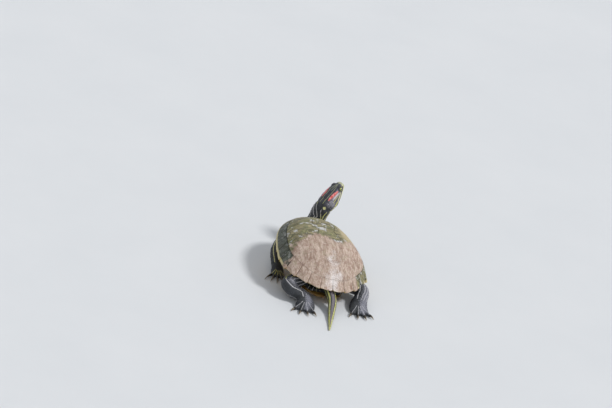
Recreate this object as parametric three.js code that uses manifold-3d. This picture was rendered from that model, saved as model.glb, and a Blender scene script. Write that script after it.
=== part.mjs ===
// Red-eared slider turtle, life size, standing with its neck raised and its head turned to its right.
// Millimetres, +Z up. The animal faces -Y, its left side is +X, and its feet and tail rest on z = 0.

import * as THREE from 'three';
import { mergeVertices } from 'three/addons/utils/BufferGeometryUtils.js';
import Module from 'manifold-3d';

const wasm = await Module();
wasm.setup();

// ---------------------------------------------------------------- driving dimensions

const GAP = 0.3; // clearance between neighbouring pieces
const HALF_GAP = GAP / 2;
const SLIVER = 0.08; // edges shorter than this are closed up

const CARAPACE_LENGTH = 180; // straight, nuchal edge to rear edge
const CARAPACE_HALF_LENGTH = CARAPACE_LENGTH / 2;
const CARAPACE_HALF_WIDTH = 68.5; // before the flare over the hind legs
const CORNER_FLARE = 0.085;
const CORNER_ANGLE = THREE.MathUtils.degToRad(110); // from the front
const CORNER_SPREAD = THREE.MathUtils.degToRad(20);
const DOME_HEIGHT = 42; // crown above the plane of the rim
const DOME_CENTRE_Y = -4;
const HORN_THICKNESS = 4.5;
const RIM_EDGE = 1.6; // thickness at the outermost edge of the rim
const RIM_UNDERSIDE = 2.4; // where the underside of the rim starts, below its top
const NOTCH_DEPTH = 2.2; // at the tail
const NOTCH_HALF_WIDTH = 6;
const SECTORS = 40; // around the shell
const DISC_FRACTION = 0.86; // where the marginal scutes begin, as a share of the way to the rim

const PLASTRON_LEVEL = -27; // underside of the plastron below the plane of the rim
const PLASTRON_THICKNESS = 4;
const BRIDGE_FRONT_Y = -36;
const BRIDGE_REAR_Y = 30;
const BRIDGE_OUTER_X = 66.5;
const BRIDGE_INNER_X = 39;
const BRIDGE_DRAWN_IN = 9; // at its front corner, where the rim narrows

const STANCE_HEIGHT = 40; // plane of the rim above the floor, at the middle of the shell
const NOSE_UP = THREE.MathUtils.degToRad(6);
const LEFT_SIDE_UP = THREE.MathUtils.degToRad(7);

const HEAD_LENGTH = 42;
const HEAD_TURN = THREE.MathUtils.degToRad(58); // to the animal's right
const HEAD_TILT = THREE.MathUtils.degToRad(49); // snout up
const HEAD_JOINT = new THREE.Vector3(-35, -106.5, 76); // where the neck meets the back of the head
const EYE_RADIUS = 4.2;

// ---------------------------------------------------------------- colours

const OLIVE_HORN = [0x6b6244, 0.75];
const YELLOW_HORN = [0xb98f3c, 0.6];
const DARK_SKIN = [0x2b3130, 0.6];
const EYE_GLOSS = [0x9aa04a, 0.15];
const CLAW_HORN = [0x3a352c, 0.4];

// ---------------------------------------------------------------- solids and meshes

function toSolid(geometry) {
  const plain = geometry.clone();
  plain.deleteAttribute('normal');
  plain.deleteAttribute('uv');
  const merged = mergeVertices(plain, 1e-4);
  const vertProperties = new Float32Array(merged.attributes.position.array);
  const triVerts = new Uint32Array(merged.index.array);
  return new wasm.Manifold(new wasm.Mesh({ numProp: 3, vertProperties, triVerts }));
}

function toGeometry(solid) {
  const mesh = solid.getMesh();
  const geometry = new THREE.BufferGeometry();
  geometry.setAttribute('position', new THREE.BufferAttribute(mesh.vertProperties, 3));
  geometry.setIndex(new THREE.BufferAttribute(mesh.triVerts, 1));
  return geometry;
}

function addNode(parent, name, solid, [color, roughness]) {
  const material = new THREE.MeshStandardMaterial({ color, roughness, metalness: 0 });
  const mesh = new THREE.Mesh(toGeometry(solid.simplify(SLIVER)), material);
  mesh.name = name;
  parent.add(mesh);
  return mesh;
}

function moved(solid, matrix) {
  return toSolid(toGeometry(solid).applyMatrix4(matrix));
}

// A closed skin over equal rings of points, with a fan over the first and the last ring.
function ringSolid(rings) {
  const count = rings[0].length;
  const points = rings.flat();
  const index = [];
  for (let r = 0; r + 1 < rings.length; r++) {
    for (let i = 0; i < count; i++) {
      const a = r * count + i;
      const b = r * count + ((i + 1) % count);
      index.push(a, b, b + count, a, b + count, a + count);
    }
  }
  for (const [ring, first, outward] of [[rings[0], 0, -1], [rings.at(-1), (rings.length - 1) * count, 1]]) {
    const middle = ring.reduce((sum, p) => sum.add(p), new THREE.Vector3()).divideScalar(count);
    const hub = points.push(middle) - 1;
    for (let i = 0; i < count; i++) {
      const a = first + i;
      const b = first + ((i + 1) % count);
      index.push(...(outward > 0 ? [hub, a, b] : [hub, b, a]));
    }
  }
  const geometry = new THREE.BufferGeometry().setFromPoints(points);
  geometry.setIndex(index);
  return toSolid(geometry);
}

// An upright prism over a plan outline.
function prism(outline, bottom, top) {
  const geometry = new THREE.ExtrudeGeometry(new THREE.Shape(outline), {
    depth: top - bottom,
    bevelEnabled: false,
  });
  geometry.translate(0, 0, bottom);
  return toSolid(geometry);
}

// The outline with every edge moved inwards by the distance; a negative distance grows it.
function inset(outline, distance) {
  const turn = THREE.ShapeUtils.isClockWise(outline) ? -1 : 1;
  const lines = outline.map((p, i) => {
    const q = outline[(i + 1) % outline.length];
    const along = q.clone().sub(p).normalize();
    const inwards = new THREE.Vector2(-along.y, along.x).multiplyScalar(turn * distance);
    return { from: p.clone().add(inwards), along };
  });
  return lines.map((line, i) => {
    const before = lines.at(i - 1);
    const cross = before.along.cross(line.along);
    const reach = line.from.clone().sub(before.from).cross(line.along) / cross;
    return before.from.clone().addScaledVector(before.along, reach);
  });
}

function power(value, exponent) {
  return Math.sign(value) * Math.abs(value) ** exponent;
}

// ---------------------------------------------------------------- carapace

// The plan of the rim at an angle from the front towards the left: narrow in front, flared over
// the hind legs, with a shallow notch at the tail.
function rimPoint(angle, grow = 0) {
  const rearShare = 0.5 - 0.5 * Math.cos(angle);
  const exponent = THREE.MathUtils.lerp(0.89, 0.925, rearShare);
  const fromFront = Math.abs(Math.atan2(Math.sin(angle), Math.cos(angle)));
  const corner = 1 + CORNER_FLARE * Math.exp(-(((fromFront - CORNER_ANGLE) / CORNER_SPREAD) ** 2));
  const y = -(CARAPACE_HALF_LENGTH + grow) * power(Math.cos(angle), exponent);
  const along = y / CARAPACE_HALF_LENGTH;
  const widen = 1 + 0.075 * along - 0.04 * along ** 2;
  const x = (CARAPACE_HALF_WIDTH + grow) * power(Math.sin(angle), exponent) * widen;
  const notch = y > 0 ? NOTCH_DEPTH * Math.exp(-((x / NOTCH_HALF_WIDTH) ** 2)) : 0;
  return new THREE.Vector2(x * corner, y * corner - notch);
}

function rimHeight(angle) {
  const front = Math.max(0, Math.cos(angle));
  return 4 * front ** 2 - 1.5 * Math.sin(angle) ** 2;
}

// Height of the dome along the line from its crown to the rim. The flanks fall steeply, and
// the rear runs out in a flared skirt.
function domeHeight(fraction, angle, crown) {
  const front = Math.max(0, Math.cos(angle)) ** 2;
  const rear = Math.max(0, -Math.cos(angle)) ** 2;
  const bulge = 3.2 - 0.6 * front - 0.6 * rear;
  const skirt = 0.8 + 0.15 * front + 0.45 * rear;
  const inside = Math.max(0, 1 - Math.min(fraction, 1) ** bulge);
  return crown * inside ** skirt + rimHeight(angle) * fraction ** 2;
}

function planPoint(fraction, angle, grow = 0) {
  const rim = rimPoint(angle, grow);
  return new THREE.Vector2(rim.x * fraction, DOME_CENTRE_Y + (rim.y - DOME_CENTRE_Y) * fraction);
}

function sectorAngles(count) {
  return Array.from({ length: count }, (_, i) => ((i + 0.5) / count) * 2 * Math.PI);
}

function domeRing(fraction, height, grow = 0, sectors = SECTORS) {
  return sectorAngles(sectors).map((angle) => {
    const plan = planPoint(fraction, angle, grow);
    return new THREE.Vector3(plan.x, plan.y, height(angle));
  });
}

function carapaceSolid(grow = 0) {
  const outerFractions = [0.1, 0.3, 0.48, 0.63, 0.76, 0.86, 0.93, 0.975];
  const innerFractions = [0.91, 0.82, 0.6, 0.3];
  const innerLimit = 0.935 - grow / CARAPACE_HALF_WIDTH;
  const innerCrown = DOME_HEIGHT - HORN_THICKNESS + 1.5 - grow;
  const rings = [];
  for (const f of outerFractions) {
    rings.push(domeRing(f, (a) => domeHeight(f, a, DOME_HEIGHT) + grow, grow));
  }
  rings.push(domeRing(1, (a) => rimHeight(a) + grow, grow));
  rings.push(domeRing(0.995, (a) => rimHeight(a) - RIM_EDGE - grow, grow));
  rings.push(domeRing(0.95, (a) => rimHeight(a) - RIM_UNDERSIDE - grow));
  for (const f of innerFractions) {
    const reach = Math.min(1, f / innerLimit);
    rings.push(domeRing(f, (a) => domeHeight(reach, a, innerCrown) - 1.5 - grow));
  }
  return ringSolid(rings.reverse());
}

const PRISM_BOTTOM = -20;
const PRISM_TOP = 60;
const FAR = 120; // beyond the shell in every direction

// The left edge of the row of vertebral scutes, front to back: x, y.
const spineEdge = [
  [17, -FAR], [17, -80], [13, -45], [19, -28], [13, -12], [19.5, 5],
  [12.5, 22], [17, 38], [11, 53], [21, 67], [16, FAR],
].map(([x, y]) => new THREE.Vector2(x, y));
const vertebralSeams = [0, 2, 4, 6, 8, 10]; // corners where one vertebral scute ends
const costalSeams = [[3, -38], [5, 6], [7, 50]]; // corner, and y where the seam leaves the disc

function mirrored(outline) {
  return outline.map((p) => new THREE.Vector2(-p.x, p.y)).reverse();
}

function vertebralOutline(number) {
  const left = spineEdge.slice(vertebralSeams[number - 1], vertebralSeams[number] + 1);
  return [...left, ...mirrored(left)];
}

function costalOutline(number) {
  const [from, fromY] = number === 1 ? [0, -FAR] : costalSeams[number - 2];
  const [to, toY] = number === 4 ? [10, FAR] : costalSeams[number - 1];
  const spine = spineEdge.slice(from, to + 1);
  return [...spine, new THREE.Vector2(FAR, toY), new THREE.Vector2(FAR, fromY)];
}

function nuchalOutline(grow) {
  const half = 6 + grow;
  return [[-half, -FAR], [half, -FAR], [half, -60], [-half, -60]].map(([x, y]) => new THREE.Vector2(x, y));
}

function discPrism(grow) {
  const outline = sectorAngles(SECTORS).map((angle) => planPoint(DISC_FRACTION, angle));
  return prism(inset(outline, -grow), PRISM_BOTTOM, PRISM_TOP);
}

function addCarapace(shell) {
  const whole = carapaceSolid();
  const disc = whole.intersect(discPrism(-HALF_GAP));
  const rim = whole.subtract(discPrism(HALF_GAP));
  const nuchalPrism = prism(nuchalOutline(0), PRISM_BOTTOM, PRISM_TOP);
  const nuchalRoom = prism(nuchalOutline(GAP), PRISM_BOTTOM, PRISM_TOP);
  addNode(shell, 'nuchal_scute', rim.intersect(nuchalPrism), OLIVE_HORN);
  for (let n = 1; n <= 5; n++) {
    const cutter = prism(inset(vertebralOutline(n), HALF_GAP), PRISM_BOTTOM, PRISM_TOP);
    addNode(shell, `vertebral_scute_${n}`, disc.intersect(cutter), OLIVE_HORN);
  }
  for (const [side, turn] of [['left', 1], ['right', -1]]) {
    for (let n = 1; n <= 4; n++) {
      const outline = turn > 0 ? costalOutline(n) : mirrored(costalOutline(n));
      const cutter = prism(inset(outline, HALF_GAP), PRISM_BOTTOM, PRISM_TOP);
      addNode(shell, `costal_scute_${side}_${n}`, disc.intersect(cutter), OLIVE_HORN);
    }
    const half = rim.subtract(nuchalRoom).trimByPlane([turn, 0, 0], HALF_GAP);
    addNode(shell, `marginal_scutes_${side}`, half, OLIVE_HORN);
  }
}

// ---------------------------------------------------------------- plastron and bridges

// Half width of the plastron along its length, front to back: y, half width.
const plastronStations = [
  [-81, 12], [-76, 22], [-62, 31], [-46, 36], [-28, 40], [0, 41], [24, 40],
  [40, 38], [54, 36], [68, 28], [78, 18],
];
const plastronSeams = [-64, -50, -22, 14, 44]; // gular, humeral, pectoral, abdominal, femoral, anal
const plastronNames = ['gular', 'humeral', 'pectoral', 'abdominal', 'femoral', 'anal'];

function plastronRise(y) {
  return 4 * THREE.MathUtils.smoothstep(-y, 45, 81) + 3 * THREE.MathUtils.smoothstep(y, 45, 80);
}

function plastronSolid(grow = 0) {
  const sides = 20;
  const last = plastronStations.length - 1;
  const rings = plastronStations.map(([y, halfWidth], k) => {
    const end = k === 0 ? -grow : k === last ? grow : 0;
    const middle = PLASTRON_LEVEL + PLASTRON_THICKNESS / 2 + plastronRise(y);
    return Array.from({ length: sides }, (_, i) => {
      const angle = (i / sides) * 2 * Math.PI;
      const x = (halfWidth + grow) * power(Math.cos(angle), 0.6);
      const z = middle + (PLASTRON_THICKNESS / 2 + grow) * power(Math.sin(angle), 0.6);
      return new THREE.Vector3(x, y + end, z);
    });
  });
  const notch = prism([[0, 72 + grow], [9, 90], [-9, 90]].map(([x, y]) => new THREE.Vector2(x, y)), -40, 0);
  return ringSolid(rings.reverse()).subtract(notch);
}

// The side wall from the plastron up to the marginals, drawn in where the rim narrows in front.
function bridgeSolid(turn, grow = 0) {
  const stations = 6;
  const sides = 14;
  const rings = Array.from({ length: stations }, (_, k) => {
    const t = k / (stations - 1);
    const z = THREE.MathUtils.lerp(PLASTRON_LEVEL + 2.2, -2, t ** 1.35);
    const middleY = (BRIDGE_FRONT_Y + BRIDGE_REAR_Y) / 2;
    const halfLength = (BRIDGE_REAR_Y - BRIDGE_FRONT_Y) / 2 - 3 * Math.sin(Math.PI * t) + grow;
    return Array.from({ length: sides }, (_, i) => {
      const angle = (i / sides) * 2 * Math.PI;
      const y = middleY + halfLength * power(Math.cos(angle), 0.5);
      const outerX = BRIDGE_OUTER_X - BRIDGE_DRAWN_IN * (Math.max(0, -y) / BRIDGE_FRONT_Y) ** 2;
      const lift = (2 + grow) * power(Math.sin(angle), 0.5);
      const x = THREE.MathUtils.lerp(BRIDGE_INNER_X, outerX, t) - lift * 0.5;
      return new THREE.Vector3(turn * x, y, z + lift);
    });
  });
  return ringSolid(turn > 0 ? rings : rings.reverse());
}

function addPlastron(shell) {
  const whole = plastronSolid();
  const cuts = [-FAR, ...plastronSeams, FAR];
  plastronNames.forEach((name, i) => {
    const behindFront = whole.trimByPlane([0, 1, 0], cuts[i] + HALF_GAP);
    const band = behindFront.trimByPlane([0, -1, 0], -(cuts[i + 1] - HALF_GAP));
    addNode(shell, `plastron_${name}_scutes`, band, YELLOW_HORN);
  });
  const room = carapaceSolid(GAP).add(plastronSolid(GAP));
  for (const [side, turn] of [['left', 1], ['right', -1]]) {
    addNode(shell, `bridge_${side}`, bridgeSolid(turn).subtract(room), YELLOW_HORN);
  }
}

// ---------------------------------------------------------------- flesh

// The body inside the shell: a lens between the dome and the plastron.
function trunkSolid(grow = 0) {
  const edge = 0.86;
  const sectors = SECTORS / 2;
  const topShares = [0.12, 0.4, 0.65, 0.85, 0.95];
  const bottomShares = [1, 0.85, 0.65, 0.4, 0.12];
  const crown = DOME_HEIGHT - HORN_THICKNESS - 1.5;
  const belly = -PLASTRON_LEVEL - PLASTRON_THICKNESS - 3.5;
  const top = topShares.map((share) =>
    domeRing(share * edge, (a) => domeHeight(share, a, crown) - 2.2 + grow, grow, sectors));
  const bottom = bottomShares.map((share) =>
    domeRing(share * edge, () => -2.2 - belly * (1 - share ** 2.6) - grow, grow, sectors));
  return ringSolid([...top, ...bottom].reverse());
}

// A soft limb along a smooth line. Each station is x, y, z, half width, half height.
function limbSolid(stations, steps, sides = 14, grow = 0) {
  const line = new THREE.CatmullRomCurve3(stations.map(([x, y, z]) => new THREE.Vector3(x, y, z)));
  const rings = Array.from({ length: steps + 1 }, (_, k) => {
    const place = (k / steps) * (stations.length - 1);
    const before = Math.min(Math.floor(place), stations.length - 2);
    const share = place - before;
    const [width, height] = [3, 4].map((column) =>
      THREE.MathUtils.lerp(stations[before][column], stations[before + 1][column], share) + grow);
    const centre = line.getPoint(k / steps);
    const along = line.getTangent(k / steps);
    const across = new THREE.Vector3(0, 0, 1).cross(along).normalize();
    const upwards = along.clone().cross(across);
    return Array.from({ length: sides }, (_, i) => {
      const angle = (i / sides) * 2 * Math.PI;
      const point = centre.clone();
      point.addScaledVector(across, width * Math.cos(angle));
      return point.addScaledVector(upwards, height * Math.sin(angle));
    });
  });
  return ringSolid(rings);
}

// The part of a solid on one side of a plane through a point, set back by half a gap.
function ahead(solid, point, direction) {
  const normal = direction.clone().normalize();
  return solid.trimByPlane(normal.toArray(), normal.dot(point) + HALF_GAP);
}

const limbs = {
  left_foreleg: {
    stations: [
      [30, -54, 35, 9, 9], [42, -53, 32, 10, 10], [51, -44, 27, 10, 9.5], [56, -33, 20.5, 9, 8.5],
      [57, -21, 13, 8.5, 7.5], [57, -11, 7, 9.5, 5.5], [59, -3, 3.5, 10, 3.5], [60, 2, 2, 6, 1.8],
    ],
    cut: { at: [52, -42, 26], facing: [8, 20, -12] },
    digits: { root: [56, -11, 4], heading: 74, spread: 16, count: 5, length: 18, claw: 19 },
  },
  right_foreleg: {
    stations: [
      [-32, -56, 28, 9, 9], [-48, -60, 27, 10, 10], [-59, -66, 23, 10, 9.5], [-64, -76, 17, 9, 9],
      [-67, -87, 11, 8.5, 7.5], [-69, -96, 6.5, 9.5, 5.5], [-72, -104, 3.5, 10, 3.5], [-74, -109, 2, 6, 1.8],
    ],
    cut: { at: [-59, -66, 23], facing: [-16, -18, -11] },
    digits: { root: [-69, -96, 4], heading: -112, spread: 25, count: 5, length: 18, claw: 19 },
  },
  left_hindleg: {
    stations: [
      [30, 46, 27, 10, 10], [46, 53, 25, 12, 11], [61, 59, 21, 12, 11], [57, 70, 16, 10.5, 10],
      [43, 77, 11.5, 11.5, 8.5], [39, 88, 6.5, 14, 6], [43, 100, 3.4, 15, 3.4], [46, 107, 2, 9, 1.8],
    ],
    cut: { at: [55, 68, 17], facing: [-2, 10, -5] },
    digits: { root: [39, 87, 4], heading: 72, spread: 23, count: 4, length: 26, claw: 9 },
  },
  right_hindleg: {
    stations: [
      [-30, 46, 22, 10, 10], [-45, 53, 20, 12, 11], [-57, 60, 18, 12, 11], [-57, 70, 15, 10.5, 10],
      [-52, 79, 11, 11.5, 8.5], [-47, 90, 6.5, 14, 6], [-45, 102, 3.4, 15, 3.4], [-44, 109, 2, 9, 1.8],
    ],
    cut: { at: [-57, 69, 15], facing: [0, 10, -4] },
    digits: { root: [-47, 89, 4], heading: 86, spread: 23, count: 4, length: 26, claw: 9 },
  },
};

const DIGIT_RADIUS = 3;
const CLAW_RADIUS = 2.1;

// Heading in degrees from +X towards +Y, for each digit of a foot.
function digitHeadings({ heading, spread, count }) {
  return Array.from({ length: count }, (_, i) =>
    THREE.MathUtils.degToRad(heading + spread * (i - (count - 1) / 2)));
}

function digitLine(digits, angle) {
  const along = new THREE.Vector3(Math.cos(angle), Math.sin(angle), 0);
  const root = new THREE.Vector3(...digits.root);
  const tip = root.clone().addScaledVector(along, digits.length);
  tip.z = DIGIT_RADIUS - 0.3;
  return { along, root, tip };
}

function digitSolid(digits, angle) {
  const { root, tip } = digitLine(digits, angle);
  return limbSolid([
    [...root.toArray(), DIGIT_RADIUS + 0.8, DIGIT_RADIUS + 0.8],
    [...root.clone().lerp(tip, 0.7).toArray(), DIGIT_RADIUS + 0.2, DIGIT_RADIUS],
    [...tip.toArray(), DIGIT_RADIUS - 0.5, DIGIT_RADIUS - 0.5],
  ], 2, 6);
}

// The web between the digits: a thin fan from the root of the foot.
function webSolid(digits) {
  const root = new THREE.Vector2(digits.root[0], digits.root[1]);
  const headings = digitHeadings(digits);
  const fan = [];
  headings.forEach((angle, i) => {
    const tip = new THREE.Vector2(Math.cos(angle), Math.sin(angle));
    fan.push(tip.clone().multiplyScalar(digits.length * 0.92).add(root));
    if (i + 1 < headings.length) {
      const between = (angle + headings[i + 1]) / 2;
      const dip = new THREE.Vector2(Math.cos(between), Math.sin(between));
      fan.push(dip.multiplyScalar(digits.length * 0.78).add(root));
    }
  });
  return prism([root, ...fan], 0, 2.4);
}

function clawSolid(digits, angle) {
  const { along, tip } = digitLine(digits, angle);
  const stations = [0, 0.35, 0.7, 1].map((share) => {
    const centre = tip.clone().addScaledVector(along, GAP + 0.3 + digits.claw * share);
    centre.z = tip.z + 0.7 * Math.sin(Math.PI * share) - (tip.z - 1.1) * share ** 2;
    const radius = CLAW_RADIUS * (1 - 0.78 * share);
    return [...centre.toArray(), radius, radius * 1.05];
  });
  return limbSolid(stations, 3, 6);
}

// Head stations: distance ahead of the neck joint, half width, top, bottom.
const headStations = [
  [-3, 14, 12.8, -12.8], [4, 14.4, 13, -12.6], [11, 14.4, 12.8, -12.2], [18, 13.4, 12.4, -11.2],
  [25, 11.6, 11.8, -10], [31, 9.6, 10.4, -9], [36, 7.8, 8, -7.8], [39.5, 6, 5.6, -6.4],
  [41.3, 4.2, 3.8, -5], [HEAD_LENGTH, 2.2, 2, -3.6],
];
const EYE_PLACE = [5.9, -31, 4.6]; // left eye in the frame of the head
const MOUTH_CORNER_Y = -13;

function headSolid() {
  const sides = 16;
  const rings = headStations.map(([forward, halfWidth, top, bottom]) =>
    Array.from({ length: sides }, (_, i) => {
      const angle = (i / sides) * 2 * Math.PI;
      const rise = Math.sin(angle);
      const z = rise > 0 ? top * rise ** 0.85 : bottom * (-rise) ** 0.9;
      return new THREE.Vector3(halfWidth * power(Math.cos(angle), 0.85), -forward, z);
    }));
  return ringSolid(rings);
}

// The lower jaw as a side outline, y and z, carried across the head.
function jawPrism(grow) {
  const outline = [[-50, -1.6], [-34, -2.6], [MOUTH_CORNER_Y, -5.6], [-9, -16], [-50, -16]];
  const shape = inset(outline.map(([y, z]) => new THREE.Vector2(y, z)), -grow);
  const solid = prism(shape, -20, 20);
  const sideways = new THREE.Matrix4().makeBasis(
    new THREE.Vector3(0, 1, 0),
    new THREE.Vector3(0, 0, 1),
    new THREE.Vector3(1, 0, 0),
  );
  return moved(solid, sideways);
}

function eyeSolid(turn, grow = 0) {
  const ball = new THREE.SphereGeometry(EYE_RADIUS + grow, 12, 7);
  ball.translate(turn * EYE_PLACE[0], EYE_PLACE[1], EYE_PLACE[2]);
  return toSolid(ball);
}

function addHead(head) {
  const jointFace = new THREE.Vector3(0, 0, 0);
  const whole = ahead(headSolid(), jointFace, new THREE.Vector3(0, -1, 0));
  let cranium = whole.subtract(jawPrism(HALF_GAP));
  for (const [side, turn] of [['left', 1], ['right', -1]]) {
    cranium = cranium.subtract(eyeSolid(turn, GAP));
    addNode(head, `eye_${side}`, eyeSolid(turn), EYE_GLOSS);
  }
  addNode(head, 'head', cranium, DARK_SKIN);
  addNode(head, 'lower_jaw', whole.intersect(jawPrism(-HALF_GAP)), DARK_SKIN);
}

// ---------------------------------------------------------------- the animal

const turtle = new THREE.Group();
const animal = new THREE.Group();
turtle.add(animal);

const shell = new THREE.Group();
shell.position.z = STANCE_HEIGHT;
shell.rotation.set(-NOSE_UP, -LEFT_SIDE_UP, 0);
shell.updateMatrix();
animal.add(shell);
addCarapace(shell);
addPlastron(shell);
addNode(shell, 'trunk', trunkSolid(), DARK_SKIN);

const head = new THREE.Group();
head.position.copy(HEAD_JOINT);
head.rotation.set(-HEAD_TILT, 0, -HEAD_TURN, 'ZXY');
head.updateMatrix();
animal.add(head);
addHead(head);
const headAhead = new THREE.Vector3(0, -1, 0).transformDirection(head.matrix);

// Room that flesh outside the shell keeps clear of.
const shellRoom = carapaceSolid(GAP)
  .add(plastronSolid(GAP))
  .add(bridgeSolid(1, GAP))
  .add(bridgeSolid(-1, GAP))
  .add(trunkSolid(GAP));
const room = moved(shellRoom, shell.matrix);
const below = FAR * 4;
const floor = toSolid(new THREE.BoxGeometry(below, below, below).translate(0, 0, -below / 2));

const neckStations = [
  [1, -58, 38, 14, 9], [-7, -81, 40, 14, 9], [-18, -98, 43, 14, 11], [-25, -105, 52, 14, 13],
  [-28.5, -106.5, 63, 14.5, 14], [-34, -106.5, 76, 14.5, 13.5], [-41, -111, 87, 13, 12],
];
const neck = ahead(limbSolid(neckStations, 11, 14).subtract(room), HEAD_JOINT, headAhead.clone().negate());
addNode(animal, 'neck', neck, DARK_SKIN);

const tailStations = [
  [1, 62, 25, 8, 7], [0, 80, 20.5, 8, 7], [-1, 95, 13.5, 7, 6.6], [3, 111, 6, 5.6, 5.2],
  [10, 132, 3, 3.8, 3.4], [20, 161, 1.5, 1.2, 1.5],
];
const wholeTail = limbSolid(tailStations, 12, 12).subtract(room).subtract(floor);
const tailSplit = new THREE.Vector3(3, 111, 6);
const tailAhead = new THREE.Vector3(5, 16, -4);
addNode(animal, 'tail_base', ahead(wholeTail, tailSplit, tailAhead.clone().negate()), DARK_SKIN);
addNode(animal, 'tail_tip', ahead(wholeTail, tailSplit, tailAhead), DARK_SKIN);

for (const [name, { stations, cut, digits }] of Object.entries(limbs)) {
  const headings = digitHeadings(digits);
  let limb = limbSolid(stations, 10, 10).add(webSolid(digits));
  for (const angle of headings) {
    limb = limb.add(digitSolid(digits, angle));
  }
  limb = limb.subtract(room).subtract(floor);
  const bend = new THREE.Vector3(...cut.at);
  const onwards = new THREE.Vector3(...cut.facing);
  addNode(animal, `${name}_upper`, ahead(limb, bend, onwards.clone().negate()), DARK_SKIN);
  addNode(animal, `${name}_foot`, ahead(limb, bend, onwards), DARK_SKIN);
  headings.forEach((angle, i) => {
    addNode(animal, `${name}_claw_${i + 1}`, clawSolid(digits, angle).subtract(floor), CLAW_HORN);
  });
}

const box = new THREE.Box3().setFromObject(turtle, true);
animal.position.x = -(box.min.x + box.max.x) / 2;
animal.position.y = -(box.min.y + box.max.y) / 2;

export default turtle;
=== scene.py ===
"""Red-eared slider turtle: horn plates, one skin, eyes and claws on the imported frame.

Lengths are in mm, and points are before SHIFT, until make_mesh turns them into metres.
"""

import math

import bmesh
import bpy
import numpy as np
from mathutils import Matrix, Vector
from mathutils.bvhtree import BVHTree
from mathutils.kdtree import KDTree


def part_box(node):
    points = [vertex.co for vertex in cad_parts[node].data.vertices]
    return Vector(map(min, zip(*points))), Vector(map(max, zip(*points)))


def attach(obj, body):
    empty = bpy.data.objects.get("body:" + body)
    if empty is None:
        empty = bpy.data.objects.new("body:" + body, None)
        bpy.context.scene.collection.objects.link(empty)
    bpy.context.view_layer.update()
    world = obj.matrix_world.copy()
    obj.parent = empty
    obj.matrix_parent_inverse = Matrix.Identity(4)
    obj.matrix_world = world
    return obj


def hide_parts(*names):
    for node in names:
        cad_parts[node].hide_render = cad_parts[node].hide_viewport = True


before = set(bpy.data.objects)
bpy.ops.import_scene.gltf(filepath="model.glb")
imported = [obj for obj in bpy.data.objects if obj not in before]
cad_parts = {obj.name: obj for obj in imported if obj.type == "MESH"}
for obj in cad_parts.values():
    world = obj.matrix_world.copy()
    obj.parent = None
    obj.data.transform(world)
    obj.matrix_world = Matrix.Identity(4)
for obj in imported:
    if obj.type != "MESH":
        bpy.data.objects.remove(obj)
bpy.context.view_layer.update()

MM = 0.001
SIDES = (("left", 1), ("right", -1))

# ---------------- numbers and noise


def turn(axis, degrees):
    return np.array(Matrix.Rotation(math.radians(degrees), 3, axis))


def unit(vectors):
    return vectors / np.linalg.norm(vectors, axis=-1, keepdims=True)


def circle(count):
    return np.linspace(0, 2 * math.pi, count, endpoint=False)


def wrapped(degrees):
    return (degrees + 180) % 360 - 180


def travelled(points):
    """The way along a row of points, from 0."""
    return np.concatenate([[0], np.cumsum(np.linalg.norm(np.diff(points, axis=0), axis=1))])


def smooth(low, high, value):
    t = np.clip((value - low) / (high - low), 0, 1)
    return t * t * (3 - 2 * t)


def bell(value, width):
    return np.exp(-((value / width) ** 2))


def power(value, exponent):
    return np.sign(value) * np.abs(value) ** exponent


def hermite(x, xs, ys):
    """A smooth curve through the points xs, ys."""
    xs, ys = np.array(xs, float), np.array(ys, float)
    slopes = np.gradient(ys, xs)
    i = np.clip(np.searchsorted(xs, x) - 1, 0, len(xs) - 2)
    width = xs[i + 1] - xs[i]
    t = np.clip((x - xs[i]) / width, 0, 1)
    ends = (2 * t**3 - 3 * t**2 + 1) * ys[i] + (3 * t**2 - 2 * t**3) * ys[i + 1]
    return ends + ((t**3 - 2 * t**2 + t) * slopes[i] + (t**3 - t**2) * slopes[i + 1]) * width


HASH = np.array([374761393, 668265263, 2246822519])
SEED_HASH, LAST_HASH = 3266489917, 1274126177


def noise(points, size, seed=0):
    """Smooth value noise from -1 to 1, with features of about the given size."""
    q = np.asarray(points, float) / size
    if q.shape[1] == 2:
        q = np.column_stack([q, np.zeros(len(q))])
    cell = np.floor(q).astype(np.int64)
    t = q - cell
    t = t * t * (3 - 2 * t)
    total = np.zeros(len(q))
    for corner in range(8):
        step = np.array([corner & 1, corner >> 1 & 1, corner >> 2])
        h = ((cell + step) @ HASH + seed * SEED_HASH) & 0xFFFFFFFF
        h = ((h ^ (h >> 13)) * LAST_HASH) & 0xFFFFFFFF
        total += ((h ^ (h >> 16)) & 0xFFFF) / 65535 * np.where(step, t, 1 - t).prod(1)
    return 2 * total - 1


# ---------------- places

SHELL_TURN = turn("X", -6) @ turn("Y", -7)
SHELL_ORIGIN = np.array([0, 0, 40.0])
HEAD_TURN = turn("Z", -58) @ turn("X", -49)
HEAD_JOINT = np.array([-35, -106.5, 76])
EYE_RADIUS = 4.2
EYE_PLACE = np.array([5.9, -31, 4.6])
SHIFT = np.mean(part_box("eye_left"), axis=0) / MM - (HEAD_JOINT + HEAD_TURN @ EYE_PLACE)


def from_shell(points):
    return points @ SHELL_TURN.T + SHELL_ORIGIN


def to_shell(points):
    return (points - SHELL_ORIGIN) @ SHELL_TURN


def from_head(points):
    return points @ HEAD_TURN.T + HEAD_JOINT


def to_head(points):
    return (points - HEAD_JOINT) @ HEAD_TURN


def in_scene(name, data):
    made = bpy.data.objects.new(name, data)
    bpy.context.scene.collection.objects.link(made)
    return made


# ---------------- camera

CAMERA_DISTANCE = 5.0
PIXELS_PER_MM = 0.6464
FRAME_WIDTH = 612
SENSOR = 36
AIM_RIGHT, AIM_UP = -19.3, 80.7

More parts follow.
